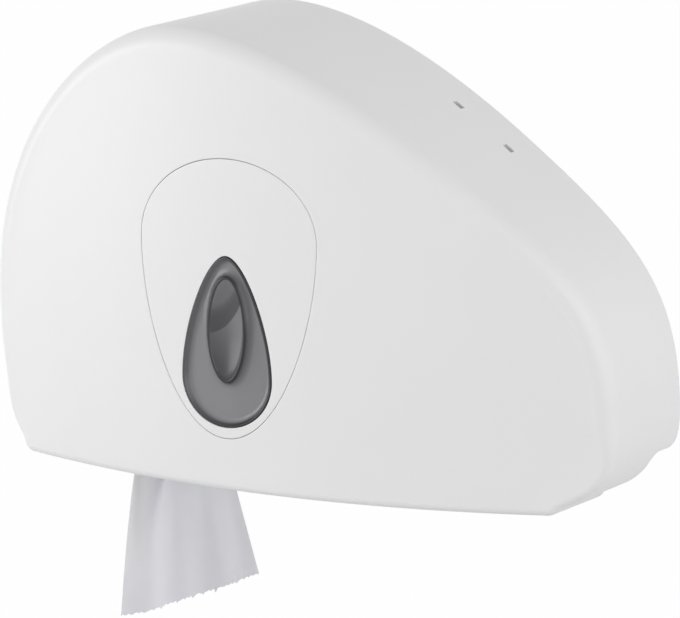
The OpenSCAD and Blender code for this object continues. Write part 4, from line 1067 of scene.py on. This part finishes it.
class DISPENSER_OT_stage(bpy.types.Operator):
    """A pale floor, studio light and the camera at the photograph's angle."""

    bl_idname = "dispenser.stage"
    bl_label = "Stage"

    def execute(self, context):
        self.floor()
        self.world()
        for lamp in LAMPS:
            self.lamp(*lamp)
        self.camera()
        return {"FINISHED"}

    def floor(self):
        """A wide pale floor that the camera and reflections see as white."""
        half, z = 14, -0.42
        corners = [(-half, -half, z), (half, -half, z), (half, half, z), (-half, half, z)]
        floor = mesh_object("pale_floor", corners, [(0, 1, 2, 3)])
        paint = Paint("floor_white", Roughness=0.8, Base_Color=(0.7, 0.7, 0.7, 1))
        glow = paint.add("ShaderNodeEmission", {}, {"Strength": 1.0})
        whole = Link(paint, paint.shader.outputs[0])
        mixed = paint.add("ShaderNodeMixShader", {}, {0: paint.seen() * FLOOR_WHITE, 1: whole, 2: glow})
        paint.tree.links.new(mixed.socket, paint.tree.nodes["Material Output"].inputs[0])
        floor.data.materials.append(paint.material)

    def world(self):
        """Soft white all round: white where it is seen, dimmer where it lights the object."""
        world = bpy.data.worlds.new("studio")
        bpy.context.scene.world = world
        world.use_nodes = True
        nodes = Nodes(world.node_tree)
        back = world.node_tree.nodes["Background"]
        back.inputs["Color"].default_value = (1, 1, 1, 1)
        strength = nodes.seen() * (1 - WORLD_LIGHT) + WORLD_LIGHT
        world.node_tree.links.new(strength.socket, back.inputs["Strength"])

    def lamp(self, name, place, aim, power):
        """A square soft lamp that points at a place on the object."""
        data = bpy.data.lights.new(name, "AREA")
        data.shape, data.size, data.energy = "SQUARE", LAMP_SIZE, power
        lamp = bpy.data.objects.new(name, data)
        bpy.context.scene.collection.objects.link(lamp)
        lamp.location = place
        lamp.rotation_euler = (Vector(aim) - Vector(place)).to_track_quat("-Z", "Y").to_euler()

    def camera(self):
        """The camera, from its angle round and above the object, its roll, its lens and its distance."""
        turn, tilt, roll = (math.radians(a) for a in CAMERA["angles"])
        faced = Euler((math.pi / 2 - tilt, 0, turn)).to_matrix() @ Matrix.Rotation(roll, 3, "Z")
        x, y, z = CAMERA["offset"]
        place = Vector(CAMERA["about"]) + faced @ Vector((-x, -y, z))
        data = bpy.data.cameras.new("camera")
        data.sensor_width, data.lens = SENSOR, CAMERA["focal_px"] * SENSOR / CAMERA["width_px"]
        data.clip_start, data.clip_end = 0.1, 60
        camera = bpy.data.objects.new("camera", data)
        bpy.context.scene.collection.objects.link(camera)
        camera.matrix_world = Matrix.Translation(place) @ faced.to_4x4()
        bpy.context.scene.camera = camera


CAMERA = {
    "angles": (32.98, 11.04, -0.74),
    "offset": (-0.0179, -0.0064, 2.8355),
    "about": (0, -0.065, 0.010),
    "focal_px": 4908.8,
    "width_px": 680,
}
SENSOR = 36
LAMPS = (
    ("left_light", (-2.6, -2.2, 0.1), (0, 0, 0.02), 76),
    ("right_light", (2.8, -1.2, 0.7), (0.05, -0.05, 0.02), 30),
    ("rear_light", (2.9, 0.6, 0.9), (0.05, -0.05, 0.02), 10),
)
LAMP_SIZE = 2.6
WORLD_LIGHT = 0.512
FLOOR_WHITE = 0.985
PAINTS = {}


def mix_paints(scene):
    """The finishes, from the colours in the sidebar."""
    tint = scene.dispenser_finishes
    PAINTS.update(
        shell=moulded("cover_white", tint.shell, 0.36, 500, 1400),
        inner=moulded("inner_white", tint.inner, 0.5, 300, 900),
        acetal=moulded("grey_acetal", tint.acetal, 0.42, 300, 900),
        smoke=smoked("smoke_grey", tint.smoke, tint.smoke_thick_and_painted_shade),
        clip=steel("clip_steel", tint.steel, (1, 0.1, 1)),
        screw=steel("zinc_screw", shade(tint.steel, 0.95), (0.2, 1, 0.2), 0.36),
        spring=steel("spring_wire", shade(tint.steel, 0.8), (0.2, 1, 0.2), 0.28),
        board=cardboard("core_board", tint.board),
        tissue=tissue("tissue_white", tint.tissue),
        roll=tissue("roll_tissue", tint.tissue, tuple(MAIN)),
    )


class DISPENSER_PT_panel(bpy.types.Panel):
    """Sidebar panel with the sizes, the colours and a button for each piece."""

    bl_idname = "DISPENSER_PT_panel"
    bl_label = "Jumbo roll dispenser"
    bl_space_type = "VIEW_3D"
    bl_region_type = "UI"
    bl_category = "Dispenser"

    def draw(self, context):
        for group in SETTINGS:
            settings = getattr(context.scene, group)
            box = self.layout.box()
            for key in settings.__annotations__:
                box.prop(settings, key)
        for operator in OPERATORS:
            self.layout.operator(operator.bl_idname)


OPERATORS = (
    DISPENSER_OT_finishes,
    DISPENSER_OT_cover,
    DISPENSER_OT_plaque,
    DISPENSER_OT_window,
    DISPENSER_OT_paper,
    DISPENSER_OT_springs,
    DISPENSER_OT_stage,
)
SETTINGS = {
    "dispenser_housing": HousingSizes,
    "dispenser_paper": PaperSizes,
    "dispenser_finishes": Finishes,
}
CLASSES = (*SETTINGS.values(), DISPENSER_PT_panel, *OPERATORS)


def register():
    """Registers the classes and their settings."""
    for cls in CLASSES:
        bpy.utils.register_class(cls)
    for name, group in SETTINGS.items():
        setattr(bpy.types.Scene, name, PointerProperty(type=group))


def unregister():
    """Takes the settings and classes away again."""
    for name in SETTINGS:
        delattr(bpy.types.Scene, name)
    for cls in reversed(CLASSES):
        bpy.utils.unregister_class(cls)


def main():
    register()
    bpy.context.scene.view_settings.view_transform = "Standard"
    mix_paints(bpy.context.scene)
    for operator in OPERATORS:
        getattr(bpy.ops.dispenser, operator.bl_idname.split(".")[1])()


if __name__ == "__main__":
    main()
